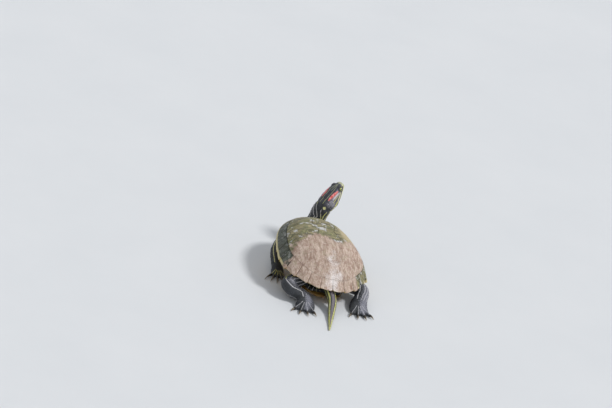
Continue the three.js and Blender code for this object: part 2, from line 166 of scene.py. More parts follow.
back = unit(np.array([0.3418, 0.8344, 0.4325]))
right = np.array([-0.9372, 0.2689, 0.2220])
right = unit(right - back * (right @ back))
up = np.cross(back, right)
eye_point = (SHELL_ORIGIN + SHIFT + AIM_RIGHT * right + AIM_UP * up) * MM + back * CAMERA_DISTANCE
camera = in_scene("camera", bpy.data.cameras.new("camera"))
camera.matrix_world = Matrix([*np.column_stack([right, up, back, eye_point]), [0, 0, 0, 1]])
camera.data.sensor_width = SENSOR
camera.data.lens = PIXELS_PER_MM * SENSOR * CAMERA_DISTANCE / MM / FRAME_WIDTH
camera.data.clip_end = 100
bpy.context.scene.camera = camera

# ---------------- meshes


def make_mesh(name, points, faces):
    """A smooth mesh; faces are arrays of 3 or 4 columns."""
    mesh = bpy.data.meshes.new(name)
    co = ((np.asarray(points) + SHIFT) * MM).astype(np.float32)
    mesh.vertices.add(len(co))
    mesh.vertices.foreach_set("co", co.ravel())
    corners = np.concatenate([f.ravel() for f in faces]).astype(np.int32)
    sizes = np.concatenate([np.full(len(f), f.shape[1]) for f in faces])
    mesh.loops.add(len(corners))
    mesh.loops.foreach_set("vertex_index", corners)
    mesh.polygons.add(len(sizes))
    mesh.polygons.foreach_set("loop_start", (np.cumsum(sizes) - sizes).astype(np.int32))
    mesh.update(calc_edges=True)
    mesh.validate()
    mesh.shade_smooth()
    return mesh


def add_piece(name, points, faces, look, nodes, attributes=()):
    """A visible piece; look is its material and a slot name that is not used, and attributes hold a
    value for each point.
    """
    mesh = make_mesh(name, points, faces)
    for key, values in dict(attributes).items():
        values = np.asarray(values, np.float32)
        kind, field = ("FLOAT_VECTOR", "vector") if values.ndim == 2 else ("FLOAT", "value")
        mesh.attributes.new(key, kind, "POINT").data.foreach_set(field, values.ravel())
    piece = in_scene(name, mesh)
    material, slot = look
    mesh.materials.append(material)
    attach(piece, "root")
    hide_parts(*nodes)
    return piece


def read(items, field, width=1, kind=np.int32):
    """One field of a mesh's vertices, edges, faces or corners."""
    values = np.empty(len(items) * width, kind)
    items.foreach_get(field, values)
    return values.reshape(-1, width) if width > 1 else values


def grid_faces(rows, columns, first=0):
    """Quads of a grid of points, row after row, that closes on itself sideways."""
    index = np.arange(rows * columns).reshape(rows, columns) + first
    beside = np.roll(index, -1, 1)
    return np.stack([index[:-1], beside[:-1], beside[1:], index[1:]], 2).reshape(-1, 4)


def fan_faces(ring, hub, outward):
    following = np.roll(ring, -1)
    hubs = np.full(len(ring), hub)
    return np.column_stack([hubs, ring, following] if outward else [hubs, following, ring])


def flipped(faces, when=True):
    return [f[:, ::-1] for f in faces] if when else faces


def loft(rings):
    """A closed skin over equal rings of points, as (points, faces)."""
    rings = np.asarray(rings)
    rows, columns = rings.shape[:2]
    points = np.concatenate([rings.reshape(-1, 3), [rings[0].mean(0)], [rings[-1].mean(0)]])
    count = rows * columns
    first_fan = fan_faces(np.arange(columns), count, False)
    last_fan = fan_faces(np.arange(count - columns, count), count + 1, True)
    return points, [grid_faces(rows, columns), np.concatenate([first_fan, last_fan])]


def with_ends(values, ends):
    """Values for each point of a loft, from those of its rings."""
    return np.concatenate([np.ravel(values), [ends, ends]])


def joined(parts):
    """Several (points, faces) as one."""
    faces, first = [], 0
    for part_points, part_faces in parts:
        faces += [f + first for f in part_faces]
        first += len(part_points)
    alike = [[f for f in faces if f.shape[1] == size] for size in (4, 3)]
    return np.concatenate([part[0] for part in parts]), [np.concatenate(k) for k in alike if k]


# ---------------- node materials


class Nodes:
    """Short names for making and joining the nodes of a tree."""

    def __init__(self, tree):
        self.tree = tree

    def node(self, kind, inputs=(), **settings):
        made = self.tree.nodes.new(kind)
        for key, value in settings.items():
            setattr(made, key, value)
        for key, value in dict(inputs).items():
            self.plug(made.inputs[key], value)
        return made

    def plug(self, socket, value):
        if isinstance(value, bpy.types.NodeSocket):
            self.tree.links.new(value, socket)
        else:
            socket.default_value = value


def as_colour(value):
    """A socket as it is, or an sRGB triple from 0 to 255 as linear RGBA."""
    if isinstance(value, bpy.types.NodeSocket):
        return value
    linear = [(c / 255 / 12.92) if c < 10 else ((c / 255 + 0.055) / 1.055) ** 2.4 for c in value]
    return (*linear, 1.0)


class Paint(Nodes):
    """A Principled material."""

    def __init__(self, name):
        self.material = bpy.data.materials.new(name)
        self.material.use_nodes = True
        super().__init__(self.material.node_tree)

    def value(self, name):
        return self.node("ShaderNodeAttribute", attribute_name=name).outputs["Fac"]

    def vector(self, name):
        return self.node("ShaderNodeAttribute", attribute_name=name).outputs["Vector"]

    def stretch(self, vector, scale):
        return self.node("ShaderNodeMapping", {"Vector": vector, "Scale": scale}).outputs["Vector"]

    def noise(self, vector, scale, detail=4.0, rough=0.6, warp=0.0):
        inputs = {"Vector": vector, "Scale": scale, "Detail": detail, "Roughness": rough}
        return self.node("ShaderNodeTexNoise", inputs | {"Distortion": warp}).outputs["Fac"]

    def cells(self, vector, scale, feature="F1"):
        inputs = {"Vector": vector, "Scale": scale}
        return self.node("ShaderNodeTexVoronoi", inputs, feature=feature).outputs["Distance"]

    def math(self, operation, a, b=0.0):
        return self.node("ShaderNodeMath", {0: a, 1: b}, operation=operation).outputs[0]

    def times(self, a, b):
        return self.math("MULTIPLY", a, b)

    def plus(self, a, b):
        return self.math("ADD", a, b)

    def swung(self, value, noise, amount):
        """The value, moved by the noise's departure from one half times amount."""
        return self.plus(value, self.times(self.math("SUBTRACT", noise, 0.5), amount))

    def less(self, share, amount):
        """1 where share is 0, and lower by amount where it is 1."""
        return self.math("SUBTRACT", 1.0, self.times(share, amount))

    def step(self, value, low, high):
        """0 at low and 1 at high, smooth between; low may be the larger."""
        falls = low > high
        inputs = {"Value": value, "From Min": min(low, high), "From Max": max(low, high)}
        inputs |= {"To Min": float(falls), "To Max": float(not falls)}
        made = self.node("ShaderNodeMapRange", inputs, interpolation_type="SMOOTHSTEP")
        return made.outputs["Result"]

    def mix(self, share, a, b):
        inputs = {0: share, 6: as_colour(a), 7: as_colour(b)}
        return self.node("ShaderNodeMix", inputs, data_type="RGBA").outputs[2]

    def over(self, base, share, amount, colour):
        return self.mix(self.times(share, amount), base, colour)

    def coats(self, base, *rows):
        """Lays colours over the base in turn, each where its value goes from low to high."""
        for value, low, high, amount, colour in rows:
            share = self.step(value, low, high)
            base = self.mix(share if amount == 1 else self.times(share, amount), base, colour)
        return base

    def bump(self, height, distance, strength):
        inputs = {"Height": height, "Distance": distance, "Strength": strength}
        return self.node("ShaderNodeBump", inputs).outputs["Normal"]

    def finish(self, colour, roughness, normal=None, **fixed):
        sockets = self.tree.nodes["Principled BSDF"].inputs
        self.plug(sockets["Base Color"], as_colour(colour))
        self.plug(sockets["Roughness"], roughness)
        if normal is not None:
            self.plug(sockets["Normal"], normal)
        for key, value in fixed.items():
            sockets[key.replace("_", " ")].default_value = value
        return self.material


# ---------------- shell shape

HALF_LENGTH = 90
HALF_WIDTH = 68.5
DOME_HEIGHT = 42
INNER_CROWN = 39
FLESH_CROWN = 36
DOME_CENTRE = np.array([0.0, -4.0])
DISC_FRACTION = 0.86


def rim_plan(angle):
    """The shell's edge in plan; the angle is 0 at the front and grows towards the left."""
    rear = 0.5 - 0.5 * np.cos(angle)
    exponent = 0.89 + 0.035 * rear
    from_front = np.degrees(np.abs(np.arctan2(np.sin(angle), np.cos(angle))))
    corner = 1 + 0.085 * bell(from_front - 110, 20)
    y = -HALF_LENGTH * power(np.cos(angle), exponent)
    along = y / HALF_LENGTH
    x = HALF_WIDTH * power(np.sin(angle), exponent) * (1 + 0.075 * along - 0.04 * along**2)
    notch = np.where(y > 0, 2.2 * bell(x, 6), 0)
    return np.stack([x * corner, y * corner - notch], -1)


def rim_height(angle):
    return 4 * np.maximum(0, np.cos(angle)) ** 2 - 1.5 * np.sin(angle) ** 2


def dome_height(fraction, angle, crown=DOME_HEIGHT):
    front = np.maximum(0, np.cos(angle)) ** 2
    rear = np.maximum(0, -np.cos(angle)) ** 2
    inside = np.maximum(0, 1 - np.minimum(fraction, 1) ** (3.2 - 0.6 * front - 0.6 * rear))
    return crown * inside ** (0.8 + 0.15 * front + 0.45 * rear) + rim_height(angle) * fraction**2


ANGLES = np.linspace(-math.pi, math.pi, 4001)
rim_offset = rim_plan(ANGLES) - DOME_CENTRE
RIM_BEARING = np.arctan2(rim_offset[:, 0], -rim_offset[:, 1])
RIM_REACH = np.hypot(*rim_offset.T)


def dome_place(points):
    """Share of the way from the crown to the rim, and the rim's angle, over each point."""
    offset = points[:, :2] - DOME_CENTRE
    bearing = np.arctan2(offset[:, 0], -offset[:, 1])
    fraction = np.hypot(*offset.T) / np.interp(bearing, RIM_BEARING, RIM_REACH)
    return fraction, np.interp(bearing, RIM_BEARING, ANGLES)


def height_and_normal(xy, height, step=0.4):
    slopes = [(height(xy + move) - height(xy - move)) / (2 * step) for move in step * np.eye(2)]
    normal = np.column_stack([-slopes[0], -slopes[1], np.ones(len(xy))])
    return np.column_stack([xy, height(xy)]), unit(normal)


def dome_surface(xy):
    return height_and_normal(xy, lambda p: dome_height(*dome_place(p)))


MUD_EDGE = [[-64, -34, -22, -8, 10, 30, 48, 62], [-12, 6, 14, 9, -1, 0, 10, 22]]
MUD_EDGE_ON_MARGIN = [[-60, -50, -40, 0], [88, 78, 50, 44]]


def mud_field(points, on_margin=0.0):
    """How far a place on the shell is inside the dried mud: above 0.5 is mud."""
    x, y = points[:, 0], points[:, 1]
    disc_edge = hermite(x, *MUD_EDGE)
    edge = disc_edge + (np.interp(x, *MUD_EDGE_ON_MARGIN) - disc_edge) * on_margin
    edge = edge + 8 * noise(points, 15, 3) + 5 * noise(points, 5.5, 4) + 2 * noise(points, 2.2, 5)
    return np.clip(0.5 + (y - edge) / 30, 0, 1)


def mud_share(points, on_margin=0.0):
    return smooth(0.35, 0.65, mud_field(points, on_margin))


# ---------------- plates


def resample(loop, spacing):
    """A closed outline with even spacing."""
    closed = np.vstack([loop, loop[:1]])
    along = travelled(closed)
    at = np.linspace(0, along[-1], max(24, int(along[-1] / spacing)), endpoint=False)
    return np.column_stack([np.interp(at, along, values) for values in closed.T])


def edge_distance(xy, outline, block=2000):
    nearest = [
        np.sqrt(((xy[start : start + block, None] - outline) ** 2).sum(2).min(1))
        for start in range(0, len(xy), block)
    ]
    return np.concatenate(nearest)


LOW_RINGS = (0.985, 0.6, 0.25)
OUTLINE_SPACING = 0.65
HORN_THICKNESS = 2.6
PLASTRON_HORN_THICKNESS = 3.4
KEEL = 0.55


def plate(outline, surface, relief, thickness, rings=34):
    """A closed horn plate over an outline in plan, as (points, faces, facts by point)."""
    count, centre = len(outline), outline.mean(0)
    outer = 1 - (1 - np.linspace(0, 1, rings + 1)[1:]) ** 1.5
    shares = np.concatenate([[0], np.repeat(outer, count)])
    xy = centre + shares[:, None] * (np.vstack([[centre], np.tile(outline, (rings, 1))]) - centre)
    edge = edge_distance(xy, outline)
    top, normal = surface(xy)
    top = top + normal * relief(xy, edge, shares)[:, None]
    low_xy = [centre + share * (outline - centre) for share in LOW_RINGS]
    low, low_normal = surface(np.vstack([*low_xy, centre]))
    points = np.vstack([top, low - low_normal * thickness])
    ring, hub = np.arange(count), len(points) - 1
    rim = ring + len(top) - count
    wall = np.column_stack([rim, np.roll(rim, -1), np.roll(rim, -1) + count, rim + count])
    quads = [grid_faces(rings, count, 1), wall, grid_faces(len(LOW_RINGS), count, len(top))]
    fans = [fan_faces(ring + 1, 0, False), fan_faces(ring + hub - count, hub, True)]
    zeros = np.zeros(len(low))
    facts = {"seam": np.concatenate([edge, zeros]), "share": np.concatenate([shares, zeros + 1])}
    return points, [np.concatenate(quads), np.concatenate(fans)], facts


def oriented(outline, clockwise):
    following = np.roll(outline, -1, 0)
    area = np.sum(outline[:, 0] * following[:, 1] - following[:, 0] * outline[:, 1])
    return outline[::-1] if (area < 0) != clockwise else outline


# The seam between the left costal and the vertebral plates, from the front edge to the rear edge.
FAR = 120
SPINE_EDGE = np.array(
    [[17, -FAR], [17, -80], [13, -45], [19, -28], [13, -12], [19.5, 5],
     [12.5, 22], [17, 38], [11, 53], [21, 67], [16, FAR]], float,
)
# Where each seam between two costal plates starts on it, and the y that it runs out to.
COSTAL_SEAMS = [(0, -FAR), (3, -38), (5, 6), (7, 50), (10, FAR)]
MIRROR = np.array([-1, 1])


def vertebral_outline(number):
    left = SPINE_EDGE[2 * number - 2 : 2 * number + 1]
    return np.vstack([left, (left * MIRROR)[::-1]])


def costal_outline(number, side):
    (start, start_y), (end, end_y) = COSTAL_SEAMS[number - 1 : number + 1]
    left = np.vstack([SPINE_EDGE[start : end + 1], [[FAR, end_y], [FAR, start_y]]])
    return left if side > 0 else (left * MIRROR)[::-1]


def clipped(outline):
    """The outline cut off at the marginal seam, with its seams slightly wavy."""
    loop = resample(np.array(outline, float), 0.4)
    fraction, _ = dome_place(loop)
    loop = DOME_CENTRE + (loop - DOME_CENTRE) * np.minimum(1, DISC_FRACTION / fraction)[:, None]
    loop = resample(loop, OUTLINE_SPACING)
    wave = np.column_stack([noise(loop, 8, 21), noise(loop, 8, 22)]) * 0.45
    fraction, _ = dome_place(loop)
    return oriented(loop + wave * smooth(0.855, 0.8, fraction)[:, None], False)


def horn_relief(keel, seed):
    """Heights of a carapace plate: seam, growth rings, grain, keel and, under the mud, a crust."""

    def relief(xy, edge, share):
        x, y = xy.T
        mud = mud_share(np.column_stack([xy, np.zeros(len(xy))]))
        annuli = np.sin(edge * 2.7 + 1.6 * noise(xy, 9, seed)) * smooth(15, 6, edge)
        streaks = noise(np.column_stack([x / 1.1, y / 5]), 1, seed + 1)
        crust = 0.22 * noise(xy, 3.1, 31) + 0.16 * noise(xy, 1.4, 32)
        ridge = keel * bell(x, 3.2) * (0.6 + 0.4 * noise(xy, 11, seed + 2))
        horn = 0.13 * annuli + 0.09 * streaks + 0.22 * bell(share, 0.26)
        groove = -0.75 * bell(edge, 0.5) - 0.3 * np.exp(-edge / 1.8)
        at_margin = smooth(0.835, 0.855, dome_place(xy)[0])
        inside = smooth(0.7, 2.4, edge) * (horn * (1 - 0.6 * mud) + mud * crust + ridge)
        return groove * (1 - 0.72 * mud) * (1 - 0.6 * at_margin) + inside

    return relief


# A marginal's cross section: fractions of the way from the crown over the top to the rim, then the
# lip as (fraction, drop below the rim, how far it is underside), then fractions back underneath.
RIM_SHARES = [0.857, 0.866, 0.877, 0.89, 0.905, 0.92, 0.935, 0.95, 0.965, 0.978, 0.988, 0.995]
LIP = [(1.0, 0.1, 0.0), (1.003, 0.6, 0.2), (1.0, 1.2, 0.7), (0.995, 1.7, 1.0)]
UNDER_SHARES = [0.985, 0.965, 0.945, 0.925, 0.905, 0.885, 0.865, 0.845, 0.825, 0.805]
MARGINALS = 12
NUCHAL_HALF = 6
MARGINAL_STEPS = 22


def marginal_angles():
    """Angles of the thirteen seams of the left side, from the nuchal back to the tail."""
    angle = np.linspace(0, math.pi, 3000)
    plan = rim_plan(angle)
    along = travelled(plan)
    start = np.interp(NUCHAL_HALF, plan[:200, 0], along[:200])
    return np.interp(np.linspace(start, along[-1], MARGINALS + 1), along, angle)


def marginal(angle_from, angle_to, serration, side, seed):
    """One closed marginal scute, as (points, faces, facts by point)."""
    share = np.linspace(0, 1, MARGINAL_STEPS + 1)
    angle = angle_from + (angle_to - angle_from) * share
    rim = rim_plan(angle)
    height = rim_height(angle)
    rows = [(f, dome_height(f, angle), smooth(0.975, 0.996, f), 0.0) for f in RIM_SHARES]
    rows += [(f, height - drop, 1.0, below) for f, drop, below in LIP]
    for f in UNDER_SHARES:
        inner = dome_height(min(1, f / 0.935), angle, INNER_CROWN) - 1.5
        rows.append((f, height - 2.3 if f > 0.95 else np.minimum(inner, height + 3), 0.0, 1.0))
    shares, heights, cream, under = zip(*rows)
    shares = np.array(shares)
    tooth = serration * smooth(0.1, 0.93, share) * smooth(1.0, 0.93, share)
    reach = shares + np.clip((shares - DISC_FRACTION) / 0.14, 0, 1) ** 2 * tooth[:, None] / 75
    plan = DOME_CENTRE + (rim - DOME_CENTRE)[:, None] * reach[:, :, None]
    points = np.concatenate([plan, np.stack(heights, 1)[:, :, None]], 2)
    around = np.roll(points, -1, 1) - np.roll(points, 1, 1)
    normal = np.cross(around, np.gradient(points, axis=0))
    normal /= np.linalg.norm(normal, axis=2)[:, :, None] + 1e-9
    to_end = np.minimum(share, 1 - share)[:, None] * travelled(rim)[-1]
    to_disc = (shares - DISC_FRACTION) * 72
    to_disc[len(RIM_SHARES) :] = 12
    edge = np.minimum(to_end, to_disc)
    flat = points.reshape(-1, 3)
    rings = 0.12 * np.sin(edge * 2.8 + 1.5 * noise(flat, 8, seed).reshape(edge.shape))
    grain = 0.1 * noise(flat, 2.2, seed + 1).reshape(edge.shape)
    mud = mud_share(flat * [side, 1, 1], 1.0).reshape(edge.shape)
    depth = (1 - 0.6 * mud) * np.where((to_disc < 3) & (edge == to_disc), 0.4, 1)
    groove = -0.8 * bell(edge, 0.55) - 0.3 * np.exp(-edge / 1.6)
    relief = groove * depth + smooth(0.7, 2.2, edge) * (rings + grain) * (1 - 0.4 * mud)
    made, faces = loft((points + normal * relief[:, :, None]) * [side, 1, 1])
    everywhere = np.ones_like(edge)
    facts = {
        "seam": with_ends(edge, 0),
        "share": with_ends(1 - edge / 11, 1),
        "rim": with_ends(cream * everywhere, 0),
        "under": with_ends(under * everywhere, 1),
        "margin": with_ends(everywhere, 1),
    }
    return made, flipped(faces, side > 0), facts


# ---------------- shell materials


def horn_paint():
    p = Paint("carapace_horn")
    # The dark attribute marks painted shade on the left marginals.
    shell, seam, dark = p.vector("shell"), p.value("seam"), p.value("dark")
    wide = p.noise(shell, 0.055, 3.0)
    patch = p.noise(shell, 0.14, 5.0, warp=0.8)
    fine = p.noise(shell, 0.9, 5.0)
    grain = p.noise(shell, 1.7, 6.0, rough=0.7)
    bars = p.noise(p.stretch(shell, (0.05, 0.22, 0.1)), 1.0, 4.0, warp=0.7)
    horn = p.coats(
        (84, 80, 58), (bars, 0.4, 0.6, 1, (140, 130, 96)), (patch, 0.55, 0.68, 1, (164, 154, 116))
    )
    algae = p.times(p.step(wide, 0.42, 0.6), p.step(fine, 0.25, 0.65))
    horn = p.over(horn, algae, 0.75, (116, 120, 74))
    horn = p.coats(horn, (grain, 0.52, 0.7, 0.4, (176, 168, 132)))
    horn = p.over(horn, p.value("tan"), p.step(fine, 0.3, 0.5), (178, 162, 126))
    # Painted shade for the left marginals, which lie away from the key light, with painted grey
    # highlights in patches.
    shaded_side_colour = p.coats(
        (44, 50, 44), (patch, 0.45, 0.6, 1, (92, 98, 92)), (fine, 0.55, 0.7, 0.6, (128, 134, 128))
    )
    horn = p.over(horn, dark, 0.85, shaded_side_colour)
    # Dry grey-white flakes in patches, most of them near the seams, and fewer under the painted shade
    # of the left marginals.
    near_seam = p.times(p.step(seam, 7.0, 0.5), 0.1)
    flakes = p.plus(p.noise(shell, 0.11, 5.0, rough=0.66, warp=0.5), near_seam)
    flakes = p.swung(p.plus(flakes, p.times(p.value("flaky"), 0.16)), grain, 0.22)
    flakes = p.times(p.step(flakes, 0.63, 0.7), p.less(dark, 0.7))
    horn = p.over(horn, flakes, 0.9, (196, 194, 192))
    horn = p.coats(horn, (grain, 0.4, 0.25, 0.7, (54, 50, 38)), (seam, 0.6, 0.15, 0.75, (40, 36, 26)))
    # Dried mud in soft fore-and-aft streaks, paler where it is thick.
    streak = p.noise(p.stretch(shell, (0.4, 0.11, 0.2)), 1.0, 5.0, rough=0.62, warp=1.0)
    swept = p.noise(p.stretch(shell, (0.22, 0.06, 0.1)), 1.0, 3.0, warp=0.8)
    mud = p.coats(
        (150, 124, 106),
        (streak, 0.32, 0.7, 1, (202, 182, 168)),
        (grain, 0.48, 0.68, 0.5, (222, 206, 196)),
        (grain, 0.44, 0.28, 0.55, (112, 88, 72)),
        (patch, 0.52, 0.66, 0.45, (158, 148, 122)),
        (patch, 0.48, 0.34, 0.55, (134, 104, 90)),
        (swept, 0.48, 0.36, 0.45, (126, 100, 84)),
        (swept, 0.54, 0.68, 0.4, (212, 194, 178)),
    )
    speck = p.times(p.math("SUBTRACT", grain, 0.5), 3.2)
    chalk = p.plus(p.value("chalk"), p.swung(speck, fine, 1.2))
    mud = p.coats(mud, (chalk, 0.5, 1.1, 0.85, (236, 230, 228)))
    cover = p.swung(p.swung(p.value("mud"), fine, 0.55), streak, 0.3)
    cover = p.times(p.step(cover, 0.42, 0.62), p.step(p.value("under"), 0.5, 0.1))
    cover = p.times(cover, p.less(p.step(seam, 0.4, 0.05), 0.45))
    # The cream line along the edge, and the yellow underside with a dark spot on each scute.
    line = p.times(p.step(p.value("rim"), 0.35, 0.85), p.step(fine, 0.28, 0.5))
    horn = p.over(horn, line, 0.9, (214, 200, 150))
    spot = p.swung(p.value("share"), wide, 0.7)
    below = p.coats((212, 168, 78), (spot, 0.72, 0.6, 1, (38, 34, 24)))
    colour = p.coats(p.mix(cover, horn, mud), (p.value("under"), 0.35, 0.8, 1, below))
    height = p.plus(p.times(fine, 0.35), p.times(grain, 0.65))
    height = p.plus(height, p.times(cover, p.times(streak, 1.2)))
    height = p.bump(p.plus(height, p.times(flakes, 0.5)), 0.0005, 0.8)
    return p.finish(colour, p.plus(0.52, p.times(cover, 0.28)), height, Specular_IOR_Level=0.4)


def plastron_paint():
    p = Paint("plastron_horn")
    shell = p.vector("shell")
    wide = p.noise(shell, 0.07, 4.0, warp=0.8)
    fine = p.noise(shell, 0.8, 5.0)
    colour = p.coats(
        (214, 150, 40),
        (wide, 0.35, 0.65, 1, (238, 190, 82)),
        (fine, 0.5, 0.75, 0.5, (158, 112, 50)),
        (p.swung(p.value("share"), wide, 1.5), 0.6, 0.5, 1, (46, 38, 26)),
        (p.value("seam"), 1.1, 0.2, 0.8, (58, 44, 26)),
    )
    scratches = p.noise(p.stretch(shell, (0.5, 2.6, 1.0)), 1.0, 4.0)
    height = p.bump(p.plus(fine, scratches), 0.0002, 0.6)
    return p.finish(colour, p.plus(0.34, p.times(fine, 0.25)), height)


HORN = (horn_paint(), "carapace")
PLASTRON_HORN = (plastron_paint(), "plastron")
# Middles and sizes of the flaky patches.
FLAKES = [
    (45, 6, 4), (36, 1, 4), (25, -3, 6), (8, -16, 7),
    (1, -27, 8), (-5, 15, 6), (-14, 12, 5), (50, -14, 5),
]


def shell_piece(name, parts, look):
    """A piece of horn from (points, faces, facts); its name tells the node that it replaces."""
    points, faces = joined([part[:2] for part in parts])
    facts = {
        key: np.concatenate([part[2].get(key, np.zeros(len(part[0]))) for part in parts])
        for key in ("seam", "share", "rim", "under", "margin")
    }
    x, y = points[:, 0], points[:, 1]
    chalk = bell(x + 2 + 8 * noise(points, 12, 8), 13) * smooth(24, 56, y + 10 * noise(points, 9, 9))
    ragged = 2.5 * noise(points, 5, 12)
    on_disc = 1 - facts["margin"]
    facts |= {
        "shell": points,
        "mud": mud_field(points, facts["margin"]),
        "flaky": np.max([bell(np.hypot(x - fx, y - fy) + ragged, size) for fx, fy, size in FLAKES], 0),
        "chalk": chalk * (0.9 + 0.35 * noise(points, 6, 11)),
        "tan": smooth(-22, -36, x + 7 * noise(points, 14, 10)) * smooth(-78, -56, y) * on_disc,
        # dark: painted shade on the left marginals, which lie away from the key light.
        "dark": facts["margin"] * smooth(-6, 6, x) * smooth(-70, -50, y),
    }
    node = name.replace("bridge_plate", "bridge").replace("plate", "scute")
    add_piece(name, from_shell(points), faces, look, [node], facts)


def carapace_plate(name, outline, keel, seed):
    part = plate(clipped(outline), dome_surface, horn_relief(keel, seed), HORN_THICKNESS)
    shell_piece(name, [part], HORN)


for number in range(1, 6):
    carapace_plate(f"vertebral_plate_{number}", vertebral_outline(number), KEEL, 40 + number)
for side_name, side in SIDES:
    for number in range(1, 5):
        outline = costal_outline(number, side)
        carapace_plate(f"costal_plate_{side_name}_{number}", outline, 0.0, 50 + 5 * number + side)

SERRATION = [0, 0, 0, 0, 0, 0.4, 1.0, 2.4, 2.8, 2.2, 2.0, 1.4]
seams = marginal_angles()
for side_name, side in SIDES:
    rows = enumerate(zip(seams, seams[1:], SERRATION))
    parts = [marginal(*ends_and_teeth, side, 70 + 3 * k + side) for k, ends_and_teeth in rows]
    shell_piece(f"marginal_plates_{side_name}", parts, HORN)
shell_piece("nuchal_plate", [marginal(-seams[0], seams[0], 0, 1, 90)], HORN)

# ---------------- plastron and bridges

PLASTRON_LEVEL = -27
PLASTRON_THICKNESS = 4
PLASTRON_WIDTHS = [
    [-81, -76, -62, -46, -28, 0, 24, 40, 54, 68, 78], [12, 22, 31, 36, 40, 41, 40, 38, 36, 28, 18],
]
PLASTRON_SEAMS = [-81, -64, -50, -22, 14, 44, 78]
PLASTRON_NAMES = ["gular", "humeral", "pectoral", "abdominal", "femoral", "anal"]
ANAL_NOTCH = [[0.0, 72.0], [3.0, 78.0]]


def plastron_rise(y):
    return 4 * smooth(45, 81, -y) + 3 * smooth(45, 80, y)


def plastron_width(y):
    return hermite(y, *PLASTRON_WIDTHS)


def plastron_bottom(xy):
    across = np.clip(np.abs(xy[:, 0]) / plastron_width(xy[:, 1]), 0, 1)
    middle = PLASTRON_LEVEL + PLASTRON_THICKNESS / 2 + plastron_rise(xy[:, 1])
    return middle - PLASTRON_THICKNESS / 2 * (1 - across**3.33 + 1e-4) ** 0.3


def plastron_surface(xy):
    """The underside, turned over so that its outward side is up for the plate maker."""
    points, normal = height_and_normal(xy, plastron_bottom)
    return points, -normal


def plastron_relief(xy, edge, _share):
    groove = -0.5 * bell(edge, 0.55) - 0.15 * np.exp(-edge / 1.5)
    return groove + smooth(0.6, 2, edge) * (0.06 * np.sin(edge * 2.4) + 0.06 * noise(xy, 5, 13))


def plastron_outline(index):
    low, high = PLASTRON_SEAMS[index : index + 2]
    y = np.linspace(low, high, 60)
    edge = np.column_stack([plastron_width(y) * 0.995, y])[::-1]
    inner = ANAL_NOTCH if high == 78 else [[0.0, high]]
    loop = resample(np.vstack([[[0.0, low]], inner, edge]), OUTLINE_SPACING)
    from_edge = plastron_width(loop[:, 1]) - loop[:, 0]
    loop[:, 1] += 0.5 * noise(loop, 10, 23) * smooth(1, 6, loop[:, 0]) * smooth(0, 4, from_edge)
    return loop


for index, name in enumerate(PLASTRON_NAMES):
    loops = [oriented(plastron_outline(index) * [side, 1], True) for _, side in SIDES]
    horn = (plastron_surface, plastron_relief, PLASTRON_HORN_THICKNESS)
    halves = [plate(loop, *horn, rings=24) for loop in loops]
    shell_piece(f"plastron_{name}_plates", halves, PLASTRON_HORN)

BRIDGE_INNER = 39
BRIDGE_OUTER = 66.5


def bridge(side):
    """The strut from the plastron's edge up to the marginals, as (points, faces, facts by point)."""
    t = np.linspace(0, 1, 40)[:, None]
    angle = circle(90)[None, :]
    y = -3 + (33 - 3 * np.sin(math.pi * t)) * power(np.cos(angle), 0.5)
    outer = BRIDGE_OUTER - 9 * (np.maximum(0, -y) / 36) ** 2
    lift = 2 * power(np.sin(angle), 0.5)
    x = BRIDGE_INNER + (outer - BRIDGE_INNER) * t - lift * 0.5
    z = (PLASTRON_LEVEL + 2.2) * (1 - t**1.35) - 2 * t**1.35 + lift
    points = np.stack([side * x, y, z], 2)
    points[:, :, 2] += 0.25 * noise(points.reshape(-1, 3), 6, 14).reshape(x.shape)
    made, faces = loft(points)
    share = np.clip(0.35 + np.abs(t - 0.55) * 1.3, 0, 1) * np.ones_like(y)
    seam = np.minimum(np.abs(y - PLASTRON_SEAMS[3]), np.abs(y - PLASTRON_SEAMS[4]))
    return made, flipped(faces, side < 0), {"seam": with_ends(seam, 5), "share": with_ends(share, 1)}


for side_name, side in SIDES:
    shell_piece(f"bridge_plate_{side_name}", [bridge(side)], PLASTRON_HORN)

# ---------------- flesh, as solids to be joined


def curve_point(stations, share):
    """A point of the centripetal Catmull-Rom line through the stations."""
    p = stations[:, :3]
    place = (len(p) - 1) * share
    i = min(int(place), len(p) - 2)
    w = place - i
    p1, p2 = p[i], p[i + 1]
    p0 = p[i - 1] if i > 0 else 2 * p[0] - p[1]
    p3 = p[i + 2] if i + 2 < len(p) else 2 * p[-1] - p[-2]
    d0, d1, d2 = (math.sqrt(np.linalg.norm(b - a)) for a, b in ((p0, p1), (p1, p2), (p2, p3)))
    t1 = ((p1 - p0) / d0 - (p2 - p0) / (d0 + d1) + (p2 - p1) / d1) * d1
    t2 = ((p2 - p1) / d1 - (p3 - p1) / (d1 + d2) + (p3 - p2) / d2) * d1
    return p1 + t1 * w + (3 * (p2 - p1) - 2 * t1 - t2) * w**2 + (2 * (p1 - p2) + t1 + t2) * w**3


class Line:
    """A limb's centre line with its frame and half sizes, from (x, y, z, half width, half height)."""

    def __init__(self, stations, count):
        stations = np.array(stations, float)
        shares = np.linspace(0, 1, count)
        self.centre = np.array([curve_point(stations, s) for s in shares])
        self.along = unit(np.gradient(self.centre, axis=0))
        self.across = unit(np.cross([0, 0, 1], self.along))
        self.up = np.cross(self.along, self.across)
        at = shares * (len(stations) - 1)
        number = np.arange(len(stations))
        self.half_width, self.half_height = (hermite(at, number, stations[:, k]) for k in (3, 4))
        self.reach = travelled(self.centre)

    def solid(self, sides=40):
        angle = circle(sides)[None, :, None]
        out = self.across[:, None] * self.half_width[:, None, None] * np.cos(angle)
        rise = self.up[:, None] * self.half_height[:, None, None] * np.sin(angle)
        return loft(self.centre[:, None] + out + rise)


